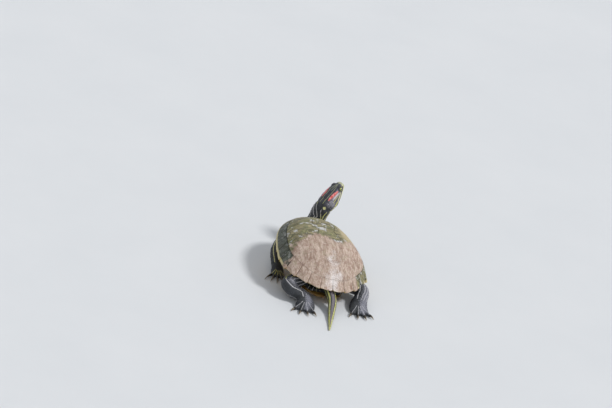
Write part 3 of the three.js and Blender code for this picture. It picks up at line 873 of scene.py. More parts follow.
FORE = {"count": 5, "length": 18, "claw": 19}
HIND = {"count": 4, "length": 26, "claw": 9}
LIMBS = {
    "left_foreleg": FORE | {
        "stations": [
            [30, -54, 35, 9, 9], [42, -53, 32, 10, 10], [51, -44, 27, 10, 9.5],
            [56, -33, 20.5, 9, 8.5],
            [57, -21, 13, 8.5, 7.5], [57, -11, 7, 9.5, 5.5], [59, -3, 3.5, 10, 3.5],
            [60, 2, 2, 6, 1.8],
        ],
        "root": [56, -11, 4], "heading": 74, "spread": 16,
    },
    "right_foreleg": FORE | {
        "stations": [
            [-32, -56, 28, 9, 9], [-48, -60, 27, 10, 10], [-59, -66, 23, 10, 9.5],
            [-64, -76, 17, 9, 9],
            [-67, -87, 11, 8.5, 7.5], [-69, -96, 6.5, 9.5, 5.5], [-72, -104, 3.5, 10, 3.5],
            [-74, -109, 2, 6, 1.8],
        ],
        "root": [-69, -96, 4], "heading": -112, "spread": 25,
    },
    "left_hindleg": HIND | {
        "stations": [
            [30, 46, 27, 10, 10], [46, 53, 25, 12, 11], [61, 59, 21, 12, 11],
            [57, 70, 16, 10.5, 10],
            [43, 77, 11.5, 11.5, 8.5], [39, 88, 6.5, 14, 6], [43, 100, 3.4, 15, 3.4],
            [46, 107, 2, 9, 1.8],
        ],
        "root": [39, 87, 4], "heading": 72, "spread": 23,
    },
    "right_hindleg": HIND | {
        "stations": [
            [-30, 46, 22, 10, 10], [-45, 53, 20, 12, 11], [-57, 60, 18, 12, 11],
            [-57, 70, 15, 10.5, 10],
            [-52, 79, 11, 11.5, 8.5], [-47, 90, 6.5, 14, 6], [-45, 102, 3.4, 15, 3.4],
            [-44, 109, 2, 9, 1.8],
        ],
        "root": [-47, 89, 4], "heading": 86, "spread": 23,
    },
}
NECK = [
    [1, -58, 38, 14, 9], [-7, -81, 40, 14, 9], [-18, -98, 43, 14, 11], [-25, -105, 52, 14, 13],
    [-28.5, -106.5, 63, 14.5, 14], [-34, -106.5, 76, 14.5, 13.5], [-41, -111, 87, 13, 12],
]
TAIL = [
    [1, 62, 25, 8, 7], [0, 80, 20.5, 8, 7], [-1, 95, 13.5, 7, 6.6], [3, 111, 6, 5.6, 5.2],
    [10, 132, 3, 3.8, 3.4], [20, 161, 1.5, 1.2, 1.5],
]
# The head at stations forward of its joint: half width, top and bottom.
HEAD_STATIONS = [-3, 4, 11, 18, 25, 31, 36, 39.5, 41.3, 42]
HEAD_SIZES = [
    [14, 14.4, 14.4, 13.4, 11.6, 9.6, 7.8, 6, 4.2, 2.2],
    [12.8, 13, 12.8, 12.4, 11.8, 10.4, 8, 5.6, 3.8, 2],
    [-12.8, -12.6, -12.2, -11.2, -10, -9, -7.8, -6.4, -5, -3.6],
]
DIGIT_RADIUS = 3
# Along a digit: share of its length, and what is added to its radius there.
DIGIT_SWELLING = ((0, 0.8), (0.3, 0.6), (0.5, 0.1), (0.66, 0.35), (0.82, -0.3), (1, -0.45))
WEB_HEIGHTS = (0.2, 1.9)
BELLY_SHARE = 0.9
BELLY_END = 68
BELLY_TOP = -17
TRUNK_SHARES = (0.12, 0.3, 0.5, 0.65, 0.78, 0.87, 0.93, 0.97)


def headings(limb):
    middle = (limb["count"] - 1) / 2
    return np.radians([limb["heading"] + limb["spread"] * (i - middle) for i in range(limb["count"])])


def digit_ends(limb, angle):
    along = np.array([math.cos(angle), math.sin(angle), 0])
    root = np.array(limb["root"], float)
    tip = root + along * limb["length"]
    tip[2] = DIGIT_RADIUS - 0.3
    return along, root, tip


def digit_solid(limb, angle):
    along, root, tip = digit_ends(limb, angle)
    stations = []
    for share, swelling in DIGIT_SWELLING:
        centre = root + (tip - root) * share
        centre[2] += 0.9 * math.sin(math.pi * share)
        stations.append([*centre, DIGIT_RADIUS + swelling, DIGIT_RADIUS + swelling - 0.2])
    stations.append([*(tip + along), DIGIT_RADIUS - 1.1, DIGIT_RADIUS - 1.1])
    return Line(stations, 22).solid(20)


def web_solid(limb):
    """A thin fan between the digits, scalloped at its edge."""
    root = np.array(limb["root"][:2], float)
    angles = headings(limb)
    fine = np.linspace(angles[0], angles[-1], 60)
    phase = (fine - angles[0]) / (angles[1] - angles[0])
    reach = limb["length"] * (0.8 + 0.1 * np.cos(2 * math.pi * phase))
    loop = np.vstack([root, root + reach[:, None] * np.column_stack([np.cos(fine), np.sin(fine)])])
    return loft([np.column_stack([loop, np.full(len(loop), z)]) for z in WEB_HEIGHTS])


def head_solid():
    forward = np.concatenate([np.linspace(-3, 36, 46), np.linspace(36.5, 42, 18)])
    half, top, bottom = (hermite(forward, HEAD_STATIONS, sizes)[:, None] for sizes in HEAD_SIZES)
    angle = circle(72)
    rise = np.sin(angle)[None, :]
    z = np.where(rise > 0, top * np.abs(rise) ** 0.85, bottom * np.abs(rise) ** 0.9)
    x = half * power(np.cos(angle), 0.85)[None, :]
    return loft(from_head(np.stack([x, -forward[:, None] * np.ones_like(x), z], 2)))


def eye_solid(side):
    polar, bearing = np.linspace(0.06, math.pi - 0.06, 24)[:, None], circle(36)[None, :]
    level = np.cos(polar) * np.ones_like(bearing)
    ring = np.stack([np.sin(polar) * np.cos(bearing), np.sin(polar) * np.sin(bearing), -level], 2)
    return loft(from_head(EYE_PLACE * [side, 1, 1]) + (EYE_RADIUS + 0.55) * ring)


def trunk_solid():
    """Flesh under the carapace: a dome over a dish."""
    angle = circle(120)
    out = rim_plan(angle) - DOME_CENTRE
    rings = [(share, dome_height(share, angle, FLESH_CROWN) - 2.2) for share in TRUNK_SHARES]
    dish = [(share, -2.2 - 19.5 * (1 - share**2.6)) for share in (1, *TRUNK_SHARES[::-1])]
    rings += [(share, np.full(len(angle), z)) for share, z in dish]
    rings = [np.column_stack([DOME_CENTRE + out * share * DISC_FRACTION, z]) for share, z in rings]
    return loft(from_shell(np.array(rings)))


def belly_solid():
    """Flesh that fills the slit between the trunk and the plastron."""
    y = np.linspace(-BELLY_END, BELLY_END, 40)[:, None]
    angle = circle(60)[None, :]
    low = PLASTRON_LEVEL + 3.0 + plastron_rise(y)
    half = (BELLY_TOP - low) / 2
    x = plastron_width(y) * BELLY_SHARE * power(np.cos(angle), 0.5)
    z = low + half + half * power(np.sin(angle), 0.5)
    return loft(from_shell(np.stack([x, y * np.ones_like(x), z], 2)))


neck_line = Line(NECK, 90)
tail_line = Line(TAIL, 110)
limb_lines = {name: Line(limb["stations"], 90) for name, limb in LIMBS.items()}
solids = [trunk_solid(), belly_solid(), neck_line.solid(), tail_line.solid(), head_solid()]
for name, limb in LIMBS.items():
    solids += [limb_lines[name].solid(), web_solid(limb)]
    solids += [digit_solid(limb, angle) for angle in headings(limb)]
solids += [eye_solid(side) for _, side in SIDES]

# ---------------- skin: one mesh, relaxed and refined

VOXEL = 0.72
SKIN_ROUNDS, HEAD_ROUNDS = 7, 3
HIDDEN_FRACTION = 0.68
HIDDEN_LEVELS, HIDDEN_BELLY_LEVELS = (3, 45), (-27, -8)
HEAD_LEVEL = 60


def vertices_of(mesh):
    return read(mesh.vertices, "co", 3, np.float32).astype(float) / MM - SHIFT


def relax(mesh, weight, rounds):
    """Moves each point towards the middle of its neighbours, by its weight."""
    points, count = vertices_of(mesh), len(mesh.vertices)
    edges = read(mesh.edges, "vertices", 2)
    first, second = edges.T
    degree = np.bincount(edges.ravel(), minlength=count)[:, None]
    for _ in range(rounds):
        total = [
            np.bincount(first, values[second], count) + np.bincount(second, values[first], count)
            for values in points.T
        ]
        points = points + (np.stack(total, 1) / degree - points) * weight[:, None]
    return points


def set_vertices(mesh, points):
    mesh.vertices.foreach_set("co", ((points + SHIFT) * MM).astype(np.float32).ravel())
    mesh.update()


rough = in_scene("rough", make_mesh("rough", *joined(solids)))
work = bmesh.new()
work.from_mesh(rough.data)
bmesh.ops.recalc_face_normals(work, faces=work.faces)
work.to_mesh(rough.data)
work.free()
remesh = rough.modifiers.new("remesh", "REMESH")
remesh.mode = "VOXEL"
remesh.voxel_size = VOXEL * MM
remesh.adaptivity = 0
evaluated = rough.evaluated_get(bpy.context.evaluated_depsgraph_get())
skin_mesh = bpy.data.meshes.new_from_object(evaluated)
bpy.data.objects.remove(rough)
points = relax(skin_mesh, np.full(len(skin_mesh.vertices), 0.5), SKIN_ROUNDS)
points[:, 2] = np.maximum(points[:, 2], 0)
set_vertices(skin_mesh, points)

# Skin that the shell hides is made coarse.
local = to_shell(points)
local_x, local_y, local_z = local.T


def level_within(levels):
    return (local_z > levels[0]) & (local_z < levels[1])


on_belly = np.abs(local_x) < plastron_width(local_y) * BELLY_SHARE - 5
on_belly &= np.abs(local_y) < BELLY_END - 10
hidden = (dome_place(local)[0] < HIDDEN_FRACTION) & level_within(HIDDEN_LEVELS)
flags = (hidden | (on_belly & level_within(HIDDEN_BELLY_LEVELS))).tolist()
work = bmesh.new()
work.from_mesh(skin_mesh)
covered = [face for face in work.faces if all(flags[v.index] for v in face.verts)]
bmesh.ops.delete(work, geom=covered, context="FACES")
filled = bmesh.ops.holes_fill(work, edges=[edge for edge in work.edges if edge.is_boundary], sides=0)
bmesh.ops.triangulate(work, faces=filled["faces"])
head_edges = {}
for face in work.faces:
    centre = np.array(face.calc_center_median()) / MM - SHIFT
    if to_head(centre)[1] < -2 and centre[2] > HEAD_LEVEL:
        head_edges |= dict.fromkeys(face.edges)
bmesh.ops.subdivide_edges(work, edges=list(head_edges), cuts=1, use_grid_fill=True)
bmesh.ops.triangulate(work, faces=[face for face in work.faces if len(face.verts) > 4])
work.to_mesh(skin_mesh)
work.free()
points = vertices_of(skin_mesh)
in_head = smooth(-1, -5, to_head(points)[:, 1]) * (points[:, 2] > HEAD_LEVEL)
points = relax(skin_mesh, 0.5 * in_head, HEAD_ROUNDS)
set_vertices(skin_mesh, points)

# ---------------- where a point is on the body

NECK_PART, TAIL_PART, FIRST_LIMB = 0, 1, 2
HEAD_ACROSS, HEAD_AHEAD, HEAD_UP = HEAD_TURN[:, 0], -HEAD_TURN[:, 1], HEAD_TURN[:, 2]


class Places:
    """The nearest place on the centre lines of the neck with the head, the tail and the limbs."""

    def __init__(self):
        rows = []
        joint = np.argmin(np.linalg.norm(neck_line.centre - HEAD_JOINT, axis=1))
        across = HEAD_ACROSS
        for k in range(joint, -1, -1):
            along = neck_line.along[k]
            across = unit(across - along * (across @ along))
            reach = neck_line.reach[k] - neck_line.reach[joint]
            rows.append((NECK_PART, reach, neck_line.centre[k], across, np.cross(along, across)))
        for reach in np.linspace(0.5, 46, 60):
            rows.append((NECK_PART, reach, HEAD_JOINT + HEAD_AHEAD * reach, HEAD_ACROSS, HEAD_UP))
        for part, line in enumerate([tail_line, *limb_lines.values()], TAIL_PART):
            rows += [(part, *row) for row in zip(line.reach, line.centre, line.across, line.up)]
        self.part, self.reach, self.centre, self.across, self.up = map(np.array, zip(*rows))
        self.tree = KDTree(len(rows))
        for k, centre in enumerate(self.centre):
            self.tree.insert(centre, k)
        self.tree.balance()

    def find(self, points):
        """Part, reach along it, angle around it in degrees and distance from its middle."""
        nearest = np.array([self.tree.find(p)[1] for p in points.tolist()])
        offset = points - self.centre[nearest]
        across, up = self.across[nearest], self.up[nearest]
        axes = (across, up, np.cross(across, up))
        sideways, upwards, ahead = ((offset * axis).sum(1) for axis in axes)
        reach = self.reach[nearest] + np.where(np.abs(ahead) < 3, ahead, 0)
        angle = np.degrees(np.arctan2(upwards, sideways))
        return self.part[nearest], reach, angle, np.hypot(sideways, upwards)


places = Places()

# ---------------- skin: folds and the face

# The height of the mouth's line forward of the head's joint.
MOUTH = [[13, 34, 42, 50], [-5.6, -2.6, -2.1, -1.6]]


def mouth_wave(forward):
    return 0.5 * np.sin(forward / 4.2)


def from_ear(head_points):
    return np.hypot(head_points[:, 1] + 9.5, head_points[:, 2] + 0.3)


def from_nostril(head_points):
    return np.hypot(np.abs(head_points[:, 0]) - 1.3, head_points[:, 2] - 1.5)


def in_socket(shell_points, radius, least):
    """Skin between the shell's halves, off the neck, limbs and tail."""
    level = np.abs(shell_points[:, 2] + 10) < 22
    return (dome_place(shell_points)[0] < 0.9) & (radius > least) & level


def folds(phase, sharpness=0.6):
    """Rounded folds with narrow creases between them, about 0 on average."""
    return np.abs(np.sin(math.pi * phase)) ** sharpness - 0.7


def body_folds(points, part, reach, angle, radius):
    """Height of the folds of the neck, the limbs, the tail and the sockets."""
    lift = 0.10 * noise(points, 1.9, 51) + 0.16 * noise(points, 4.5, 52)
    turned = np.radians(angle)
    around = np.column_stack([np.cos(turned), np.sin(turned), reach / 26])
    phase = reach / 5.2 + 0.55 * noise(around, 0.8, 53) + 0.12 * noise(points, 3, 54)
    amount = 0.75 * smooth(4, -8, reach) * (0.55 + 0.45 * noise(around, 1.3, 55))
    lift += np.where((part == NECK_PART) & (reach < 4), amount * folds(phase), 0)
    phase = reach / 4.3 + 0.5 * noise(around, 0.7, 56) + 0.12 * noise(points, 2.5, 57)
    amount = 0.5 * (0.5 + 0.5 * noise(around, 1.1, 58)) * smooth(0.5, 5, points[:, 2])
    lift += np.where(part >= FIRST_LIMB, amount * folds(phase), 0)
    phase = reach / 3.1 + 0.3 * noise(around, 0.8, 59)
    lift += np.where(part == TAIL_PART, 0.28 * folds(phase), 0)
    shell_points = to_shell(points)
    phase = np.degrees(dome_place(shell_points)[1]) / 7 + 0.9 * noise(shell_points, 14, 60)
    lift += np.where(in_socket(shell_points, radius, 13), folds(phase, 0.8), 0)
    lift *= np.where((part == NECK_PART) & (reach > 0), 0.35 + 0.65 * smooth(14, 2, reach), 1)
    return lift * smooth(0.0, 2.0, points[:, 2])


def face_relief(head_points, is_neck, reach, in_face):
    """Height of the mouth, jaws, brows, ears and nostrils."""
    x, y, z = head_points.T
    forward, aside = -y, np.abs(x)
    above = z - np.interp(forward, *MOUTH) - mouth_wave(forward)
    in_mouth = smooth(11.5, 14, forward) * in_face
    beak = smooth(15, 24, forward)
    lift = in_mouth * (-1.0 * bell(above, 0.4) + (0.3 + 0.25 * beak) * bell(above - 1.0, 0.9))
    lift -= in_mouth * beak * 0.4 * smooth(0, -0.8, above) * smooth(-9, -6, above)
    # Height; how far forward and its spread; another coordinate, its middle and spread; a fade.
    for height, ahead, spread, other, middle, width, fade in (
        (0.3, 12.5, 1.5, above, 0, 2.2, 1),  # corner of the mouth
        (0.8, 8, 5.5, z, -5.5, 4, smooth(5, 9, aside)),  # jaw muscle
        (-0.75, 29, 7, x, 0, 3.2, smooth(2, 6, z)),  # flat between the eyes
        (0.45, 31, 4.5, aside, 5.4, 1.5, smooth(5, 8, z)),  # brow
        (-0.55, 36.6, 1.8, z, 3.5, 3, smooth(1.5, 4, aside)),  # hollow ahead of the eye
        (0.4, 41, 2, z, 1.5, 2, 1),  # tip of the snout
    ):
        lift += in_face * height * bell(forward - ahead, spread) * bell(other - middle, width) * fade
    lift -= np.where(is_neck, 1.0 * bell(reach + 3.5, 3.2), 0)
    ear, nostril = from_ear(head_points), from_nostril(head_points)
    drum = 0.34 * bell(ear - 4.4, 0.7) - 0.4 * smooth(4.1, 3.2, ear)
    lift += np.where(in_face & (aside > 8), drum, 0)
    pit = -1.1 * bell(nostril, 0.65) + 0.2 * bell(nostril - 1.1, 0.4)
    return lift + np.where(forward > 39, pit, 0)


part, reach, angle, radius = places.find(points)
normal = read(skin_mesh.vertex_normals, "vector", 3, np.float32).astype(float)
in_face = (part == NECK_PART) & (reach > 0)
lift = body_folds(points, part, reach, angle, radius)
lift += face_relief(to_head(points), part == NECK_PART, reach, in_face)
points = points + normal * lift[:, None]

EYE_AXIS = unit(np.array([0.92, -0.28, 0.27]))
SOCKET_RADIUS = 3.3
LID_WIDE, LID_HIGH, LID_LOW = 47, 39, 42
# Degrees beyond the lids' edge, and height there above the eyeball.
LID_SPREAD = np.array([[1.5, 0.0, 0.3, 1.5, 3.5, 6, 9, 12.5, 16, 20, 24, 29, 34]])
LID_RISE = np.array([[-0.6, 0.05, 0.22, 0.40, 0.55, 0.66, 0.52, 0.70, 0.74, 0.66, 0.5, 0.2, -0.5]])


def eye_frame(side):
    """The eye's middle, its outward axis, and its axes towards the snout and up, in the head."""
    axis = EYE_AXIS * [side, 1, 1]
    snoutward = unit(np.array([0, -1, 0]) + axis * axis[1])
    upward = np.cross(axis, snoutward) * side
    return EYE_PLACE * [side, 1, 1], axis, snoutward, upward * np.sign(upward[2])


def around_eye(side, bearing, off_axis, distance):
    """Points at a bearing around the eye's axis, an angle off it and a distance from its middle."""
    middle, axis, snoutward, upward = eye_frame(side)
    out = np.cos(bearing)[..., None] * snoutward + np.sin(bearing)[..., None] * upward
    towards = np.cos(off_axis)[..., None] * axis + np.sin(off_axis)[..., None] * out
    return middle + distance[..., None] * towards


def lid_opening(bearing):
    """Angle from the eye's axis to the edge of the lids; bearing 0 is towards the snout."""
    high = np.where(np.sin(bearing) > 0, LID_HIGH, LID_LOW)
    return 1 / np.hypot(np.cos(bearing) / LID_WIDE, np.sin(bearing) / high)


def lid_patch(side):
    """The lids of one eye: a ring of skin from the rim of the opening out over the orbit."""
    bearing = circle(96)[:, None]
    pleats = 0.05 * np.sin(bearing * 26) * bell(LID_SPREAD - 8, 6)
    off_axis = np.radians(lid_opening(bearing) + LID_SPREAD)
    rings = around_eye(side, bearing, off_axis, EYE_RADIUS + LID_RISE + pleats)
    index = np.arange(rings[..., 0].size).reshape(rings.shape[:2])
    after = np.roll(index, -1, 0)
    faces = np.stack([index[:, :-1], index[:, 1:], after[:, 1:], after[:, :-1]], 2).reshape(-1, 4)
    outward = np.cross(rings[1, 6] - rings[0, 6], rings[0, 7] - rings[0, 6]) @ eye_frame(side)[1]
    return from_head(rings.reshape(-1, 3)), flipped([faces], outward < 0)


for _, side in SIDES:
    middle, axis, snoutward, upward = eye_frame(side)
    offset = to_head(points) - middle
    distance = np.linalg.norm(offset, axis=1)
    off_axis = np.degrees(np.arccos(np.clip(offset @ axis / (distance + 1e-9), -1, 1)))
    bearing = np.arctan2(offset @ upward, offset @ snoutward)
    inside = smooth(13, 8, off_axis - lid_opening(bearing)) * (distance < 6.5) * in_face
    scale = (distance * (1 - inside) + SOCKET_RADIUS * inside) / (distance + 1e-9)
    carved = from_head(middle + offset * scale[:, None])
    points = np.where(inside[:, None] > 0, carved, points)
points[:, 2] = np.maximum(points[:, 2], 0)

totals, starts = (read(skin_mesh.polygons, f"loop_{key}") for key in ("total", "start"))
corners = read(skin_mesh.loops, "vertex_index")
skin_faces = [corners[starts[totals == size][:, None] + np.arange(size)] for size in (3, 4)]
skin_points, skin_faces = joined([(points, skin_faces), lid_patch(1), lid_patch(-1)])

# ---------------- skin markings

NOWHERE = 9.0
DEEPEST = -3
STRIPE_TIP = 1.5
# Stripes: reach, degrees and half width at each knot. Degrees count from the top, on the head to
# either side alike, on the neck positive on its right, on legs and tail from the right upwards.
HEAD_LINES = [
    ([-3, 2.5, 17, 23, 29], [108, 104, 89, 84, 62], [0.9, 1.0, 1.15, 1.15, 0.8]),
    ([-3, 8, 20, 31, 41], [130, 124, 112, 99, 99], [0.8, 0.9, 0.7, 0.9, 0.9]),
    ([-3, 20, 36], [150, 150, 142], [0.7, 0.8, 0.5]),
    ([-3, 22], [180, 180], [0.9, 0.9]),
    ([-2, 10, 26, 35], [13, 15, 17, 12], [0.35, 0.3, 0.3, 0.2]),
    ([6, 12, 22], [66, 64, 66], [0.4, 0.45, 0.3]),
]
STRAIGHT_HEAD_LINES = [([33.5, 41.5], [60, 50], [0.4, 0.5]), ([20, 41], [0, 0], [0.25, 0.4])]
NECK_LINES = [
    ([-80, -20, -17, -11.5, -5, -2], [-34, -28, -20, 3, 33, 42], [0.6, 0.7, 0.7, 0.75, 0.7, 0.4]),
    ([-80, -25, -18, -11, -4], [-22, -15, 11, 41, 64], [0.6, 0.7, 0.9, 0.9, 0.5]),
    ([-80, -20.8, -9, -6.6], [-62, -54, -32, -31], [0.6, 0.6, 0.6, 0.3]),
    ([-6, -5.2, -3.8, -2.6, -2.0], [-41, -41, -42, -43, -44], [0.1, 1.9, 2.7, 1.4, 0.1]),
    ([-80, -17, -6], [-66, -67, -73], [0.8, 0.8, 0.7]),
    ([-80, -24, -6, 0.5], [-90, -93, -102, -107], [0.9, 0.9, 0.9, 0.9]),
    ([-80, -5, 0.5], [-124, -128, -130], [0.7, 0.8, 0.9]),
    ([-80, 0.5], [-152, -150], [0.6, 0.7]),
    ([-80, 0.5], [180, 180], [0.8, 0.9]),
    ([-80, -20, -5], [24, 56, 84], [0.6, 0.7, 0.6]),
    ([-80, -20, 0.5], [60, 84, 107], [0.7, 0.8, 0.9]),
    ([-80, 0.5], [112, 130], [0.7, 0.9]),
    ([-80, 0.5], [140, 150], [0.6, 0.7]),
    ([-80, -10], [-108, -113], [0.4, 0.4]),
    ([-80, -22, -12], [0, 30, 58], [0.4, 0.45, 0.4]),
]
RED_LINE = ([4, 8, 14, 20, 26.5], [30, 31, 34, 39, 47], [0.7, 1.6, 2.1, 2.0, 0.9])
MILKY_LINE = ([9, 14, 20, 26], [53, 53, 56, 62], [0.5, 1.5, 1.4, 0.6])
TAIL_LINES = [
    ([0, 60, 100, 140], [42, 44, 50, 56], [1.3, 1.25, 0.9, 0.7]),
    ([0, 60, 100, 140], [138, 136, 130, 124], [1.3, 1.25, 0.9, 0.7]),
    ([0, 140], [-90, -90], [0.8, 0.6]),
]
WAVY_TAIL_LINES = [([0, 140], [12, 12], [0.5, 0.4]), ([0, 140], [168, 168], [0.5, 0.4])]
TAIL_BAND = ([0, 90, 120], [90, 90, 90], [2.9, 1.4, 0.4])
# How far before the toes the lines of a leg end, and each line's degrees and half width.
LEG_LINES = {
    "foreleg": (22, [-160, -110, -55, -10, 35, 80, 130], [0.7, 0.5, 0.6, 0.8, 0.5, 0.6, 0.6]),
    "hindleg": (27, [-150, -95, -45, 0, 26, 52, 78, 120], [0.6, 0.5, 0.7, 1.0, 0.5, 0.6, 0.5, 0.7]),
}
SOCKET_RAY = 6.5
SOCKET_RAY_REACH = 62


def skin_marks(points):
    """The stripes and patches of the skin as attributes: distances in mm, and shares."""
    part, reach, angle, radius = places.find(points)
    is_neck = part == NECK_PART
    from_top, signed = np.abs(wrapped(angle - 90)), wrapped(90 - angle)
    head_points = to_head(points)
    aside, forward, head_z = np.abs(head_points[:, 0]), -head_points[:, 1], head_points[:, 2]
    shell_points = to_shell(points)

    def stripes(lines, coordinate):
        """Distance in mm outside the nearest of the stripes."""
        fields = []
        for knots, degrees, halves in lines:
            off = np.abs(wrapped(coordinate - np.interp(reach, knots, degrees)))
            to_end = np.minimum(reach - knots[0], knots[-1] - reach)
            width = np.interp(reach, knots, halves) * np.sqrt(np.clip(to_end / STRIPE_TIP, 0, 1))
            fields.append(np.where(to_end > 0, np.radians(off) * radius - width, NOWHERE))
        return np.minimum.reduce(fields)

    waver = 5 * noise(np.column_stack([reach / 11, from_top / 60]), 1, 61)
    waver *= smooth(0, 9, np.abs(reach + 2))
    head = np.minimum(stripes(HEAD_LINES, from_top + waver), stripes(STRAIGHT_HEAD_LINES, from_top))
    neck = stripes(NECK_LINES, signed + waver)
    yellow = np.where(is_neck, np.where(reach > -1.5, head, neck), NOWHERE)
    waver = 7 * noise(np.column_stack([reach / 14, angle / 70]), 1, 62)
    for index, (name, limb) in enumerate(LIMBS.items(), FIRST_LIMB):
        short, degrees, halves = LEG_LINES[name.split("_")[1]]
        end = limb_lines[name].reach[-1] - short
        lines = [([0, end], [line, line], [half, half * 0.8]) for line, half in zip(degrees, halves)]
        yellow = np.where(part == index, stripes(lines, angle + waver), yellow)
        for toe in headings(limb):
            along, root, _ = digit_ends(limb, toe)
            run = (points - root) @ along
            off = np.abs((points - root) @ np.array([-along[1], along[0], 0]))
            on_toe = (part == index) & (run > 7) & (run < limb["length"] + 1) & (points[:, 2] > 2.6)
            yellow = np.where(on_toe, np.minimum(yellow, off - 0.35), yellow)
    tail = np.minimum(stripes(TAIL_LINES, angle), stripes(WAVY_TAIL_LINES, angle + waver))
    yellow = np.where(part == TAIL_PART, tail, yellow)
    ray = np.degrees(dome_place(shell_points)[1]) + 6 * noise(shell_points, 12, 63)
    ray_off = np.abs((ray / SOCKET_RAY) % 1 - 0.5) * SOCKET_RAY * math.pi / 180 * SOCKET_RAY_REACH
    distances = {
        "yellow": np.where(in_socket(shell_points, radius, 12.5), ray_off - 0.45, yellow),
        "red": np.where(is_neck, stripes([RED_LINE], from_top), NOWHERE),
        "milky": np.where(is_neck, stripes([MILKY_LINE], from_top), NOWHERE),
        "centre_band": np.where(part == TAIL_PART, stripes([TAIL_BAND], angle), NOWHERE),
    }
    on_head = np.where(is_neck, smooth(-4, 4, reach), 0)
    from_mouth = head_z - np.interp(np.minimum(forward, 42), *MOUTH)
    nostril = from_nostril(head_points)
    jaw = smooth(2.6, 1.4, np.abs(from_mouth)) * smooth(20, 27, forward)
    snout = smooth(37.5, 39.5, forward) * smooth(0.8, 1.6, nostril)
    line = bell(from_mouth - mouth_wave(forward), 0.35) * smooth(12, 14, forward)
    from_eye = np.linalg.norm(np.column_stack([aside, -forward, head_z]) - EYE_PLACE, axis=1)
    whitish = smooth(-4, -8, reach) * smooth(-60, -36, signed) * smooth(115, 85, signed)
    # Painted highlight: a grey-lavender sheen along the upper side of the hind legs.
    hind_leg_sheen = np.where(part == 4, bell(angle - 60, 60), np.where(part == 5, bell(angle - 40, 60), 0))
    return {key: np.clip(field, DEEPEST, NOWHERE) for key, field in distances.items()} | {
        "head": on_head,
        "beak": on_head * np.maximum(jaw, 0.7 * snout),
        "mouth": on_head * np.maximum(line, bell(nostril, 0.75) * (forward > 38.5)),
        "speckle": np.where(is_neck, bell(reach - 4, 5) * bell(from_top - 62, 24), 0),
        "ear": np.where(is_neck & (aside > 8), smooth(4.6, 3.9, from_ear(head_points)), 0),
        "lid": on_head * smooth(6.6, 5.2, from_eye),
        "crown": on_head * smooth(42, 22, from_top),
        "whitish": np.where(is_neck, whitish, 0),
        "hind": (part >= 4) * (points[:, 1] > 60).astype(float),
        "hind_leg_sheen": hind_leg_sheen * smooth(12, 34, reach) * smooth(2, 6, points[:, 2]),
        "sole": smooth(1.3, 0.3, points[:, 2]),
        "body": points,
    }


def skin_paint():
    p = Paint("turtle_skin")
    body, head = p.vector("body"), p.value("head")
    wide = p.noise(body, 0.12, 4.0)
    fine = p.noise(body, 0.9, 5.0)
    mottle = p.noise(body, 0.7, 5.0, warp=1.4)
    grains = p.cells(body, 1.15)
    dark = p.coats(
        (30, 33, 36), (wide, 0.35, 0.65, 1, (52, 55, 60)), (grains, 0.5, 0.1, 0.5, (84, 86, 92))
    )
    face = p.coats(
        (64, 62, 70),
        (wide, 0.35, 0.65, 1, (104, 100, 114)),
        (mottle, 0.53, 0.6, 0.6, (150, 146, 156)),
        (mottle, 0.44, 0.36, 0.6, (34, 34, 40)),
    )
    crown = p.coats((34, 40, 50), (mottle, 0.5, 0.62, 1, (74, 80, 90)))
    face = p.over(face, p.value("crown"), 0.85, crown)
    reticle = p.swung(p.cells(body, 0.85, "DISTANCE_TO_EDGE"), mottle, 0.9)
    reticle = p.times(p.step(reticle, 0.13, 0.03), p.step(p.value("speckle"), 0.2, 0.6))
    colour = p.over(p.mix(head, dark, face), reticle, 0.7, (190, 188, 194))
    pale = p.coats((204, 204, 108), (wide, 0.4, 0.6, 1, (226, 222, 160)))
    pale = p.mix(p.value("hind"), pale, (206, 204, 206))
    pale = p.over(pale, p.value("whitish"), 0.9, (214, 210, 216))
    pale = p.over(pale, p.value("crown"), 0.7, (130, 136, 120))
    scarlet = p.coats((208, 72, 68), (p.noise(body, 0.5, 4.0), 0.42, 0.66, 1, (240, 172, 166)))
    wobble = p.times(p.math("SUBTRACT", fine, 0.5), 0.5)
    colour = p.coats(
        p.over(colour, p.value("ear"), 0.4, (140, 138, 128)),
        (p.plus(p.value("centre_band"), wobble), 0.2, -0.2, 1, (128, 120, 126)),
        (p.swung(p.value("milky"), mottle, 5.0), 0.7, -0.6, 0.8, (206, 198, 198)),
        # Painted highlight on the upper side of the hind legs, in grey-lavender.
        (p.swung(p.value("hind_leg_sheen"), mottle, 2.6), 0.45, 0.95, 0.7, (158, 158, 170)),
        (p.plus(p.value("yellow"), wobble), 0.18, -0.16, 0.93, pale),
        (p.plus(p.value("red"), p.times(wobble, 1.6)), 0.2, -0.2, 1, scarlet),
    )
    for mask, amount, paint in (
        ("beak", 0.85, (204, 204, 164)), ("lid", 0.75, (34, 34, 34)),
        ("mouth", 0.85, (22, 18, 16)), ("sole", 0.6, (86, 80, 66)),
    ):
        colour = p.over(colour, p.value(mask), amount, paint)
    plates = p.step(p.cells(body, 0.95, "DISTANCE_TO_EDGE"), 0.0, 0.2)
    gaps = p.times(p.step(plates, 0.5, 0.0), p.math("SUBTRACT", 0.5, p.times(head, 0.5)))
    colour = p.mix(gaps, colour, (16, 17, 18))
    body_height = p.plus(p.times(plates, 0.7), p.times(grains, -0.6))
    face_height = p.plus(p.times(p.cells(body, 2.1), -0.3), p.times(fine, 0.3))
    height = p.node("ShaderNodeMix", {0: head, 2: body_height, 3: face_height}).outputs[0]
    rough = p.plus(0.34, p.times(fine, 0.24))
    return p.finish(colour, rough, p.bump(height, 0.0003, 0.7), Specular_IOR_Level=0.5)


FLESH = ["trunk", "neck", "head", "lower_jaw", "tail_base", "tail_tip"]
FLESH += [f"{name}_{half}" for name in LIMBS for half in ("upper", "foot")]
SKIN = (skin_paint(), "skin")
add_piece("skin", skin_points, skin_faces, SKIN, FLESH, skin_marks(skin_points))

# ---------------- enlarged scales of the legs

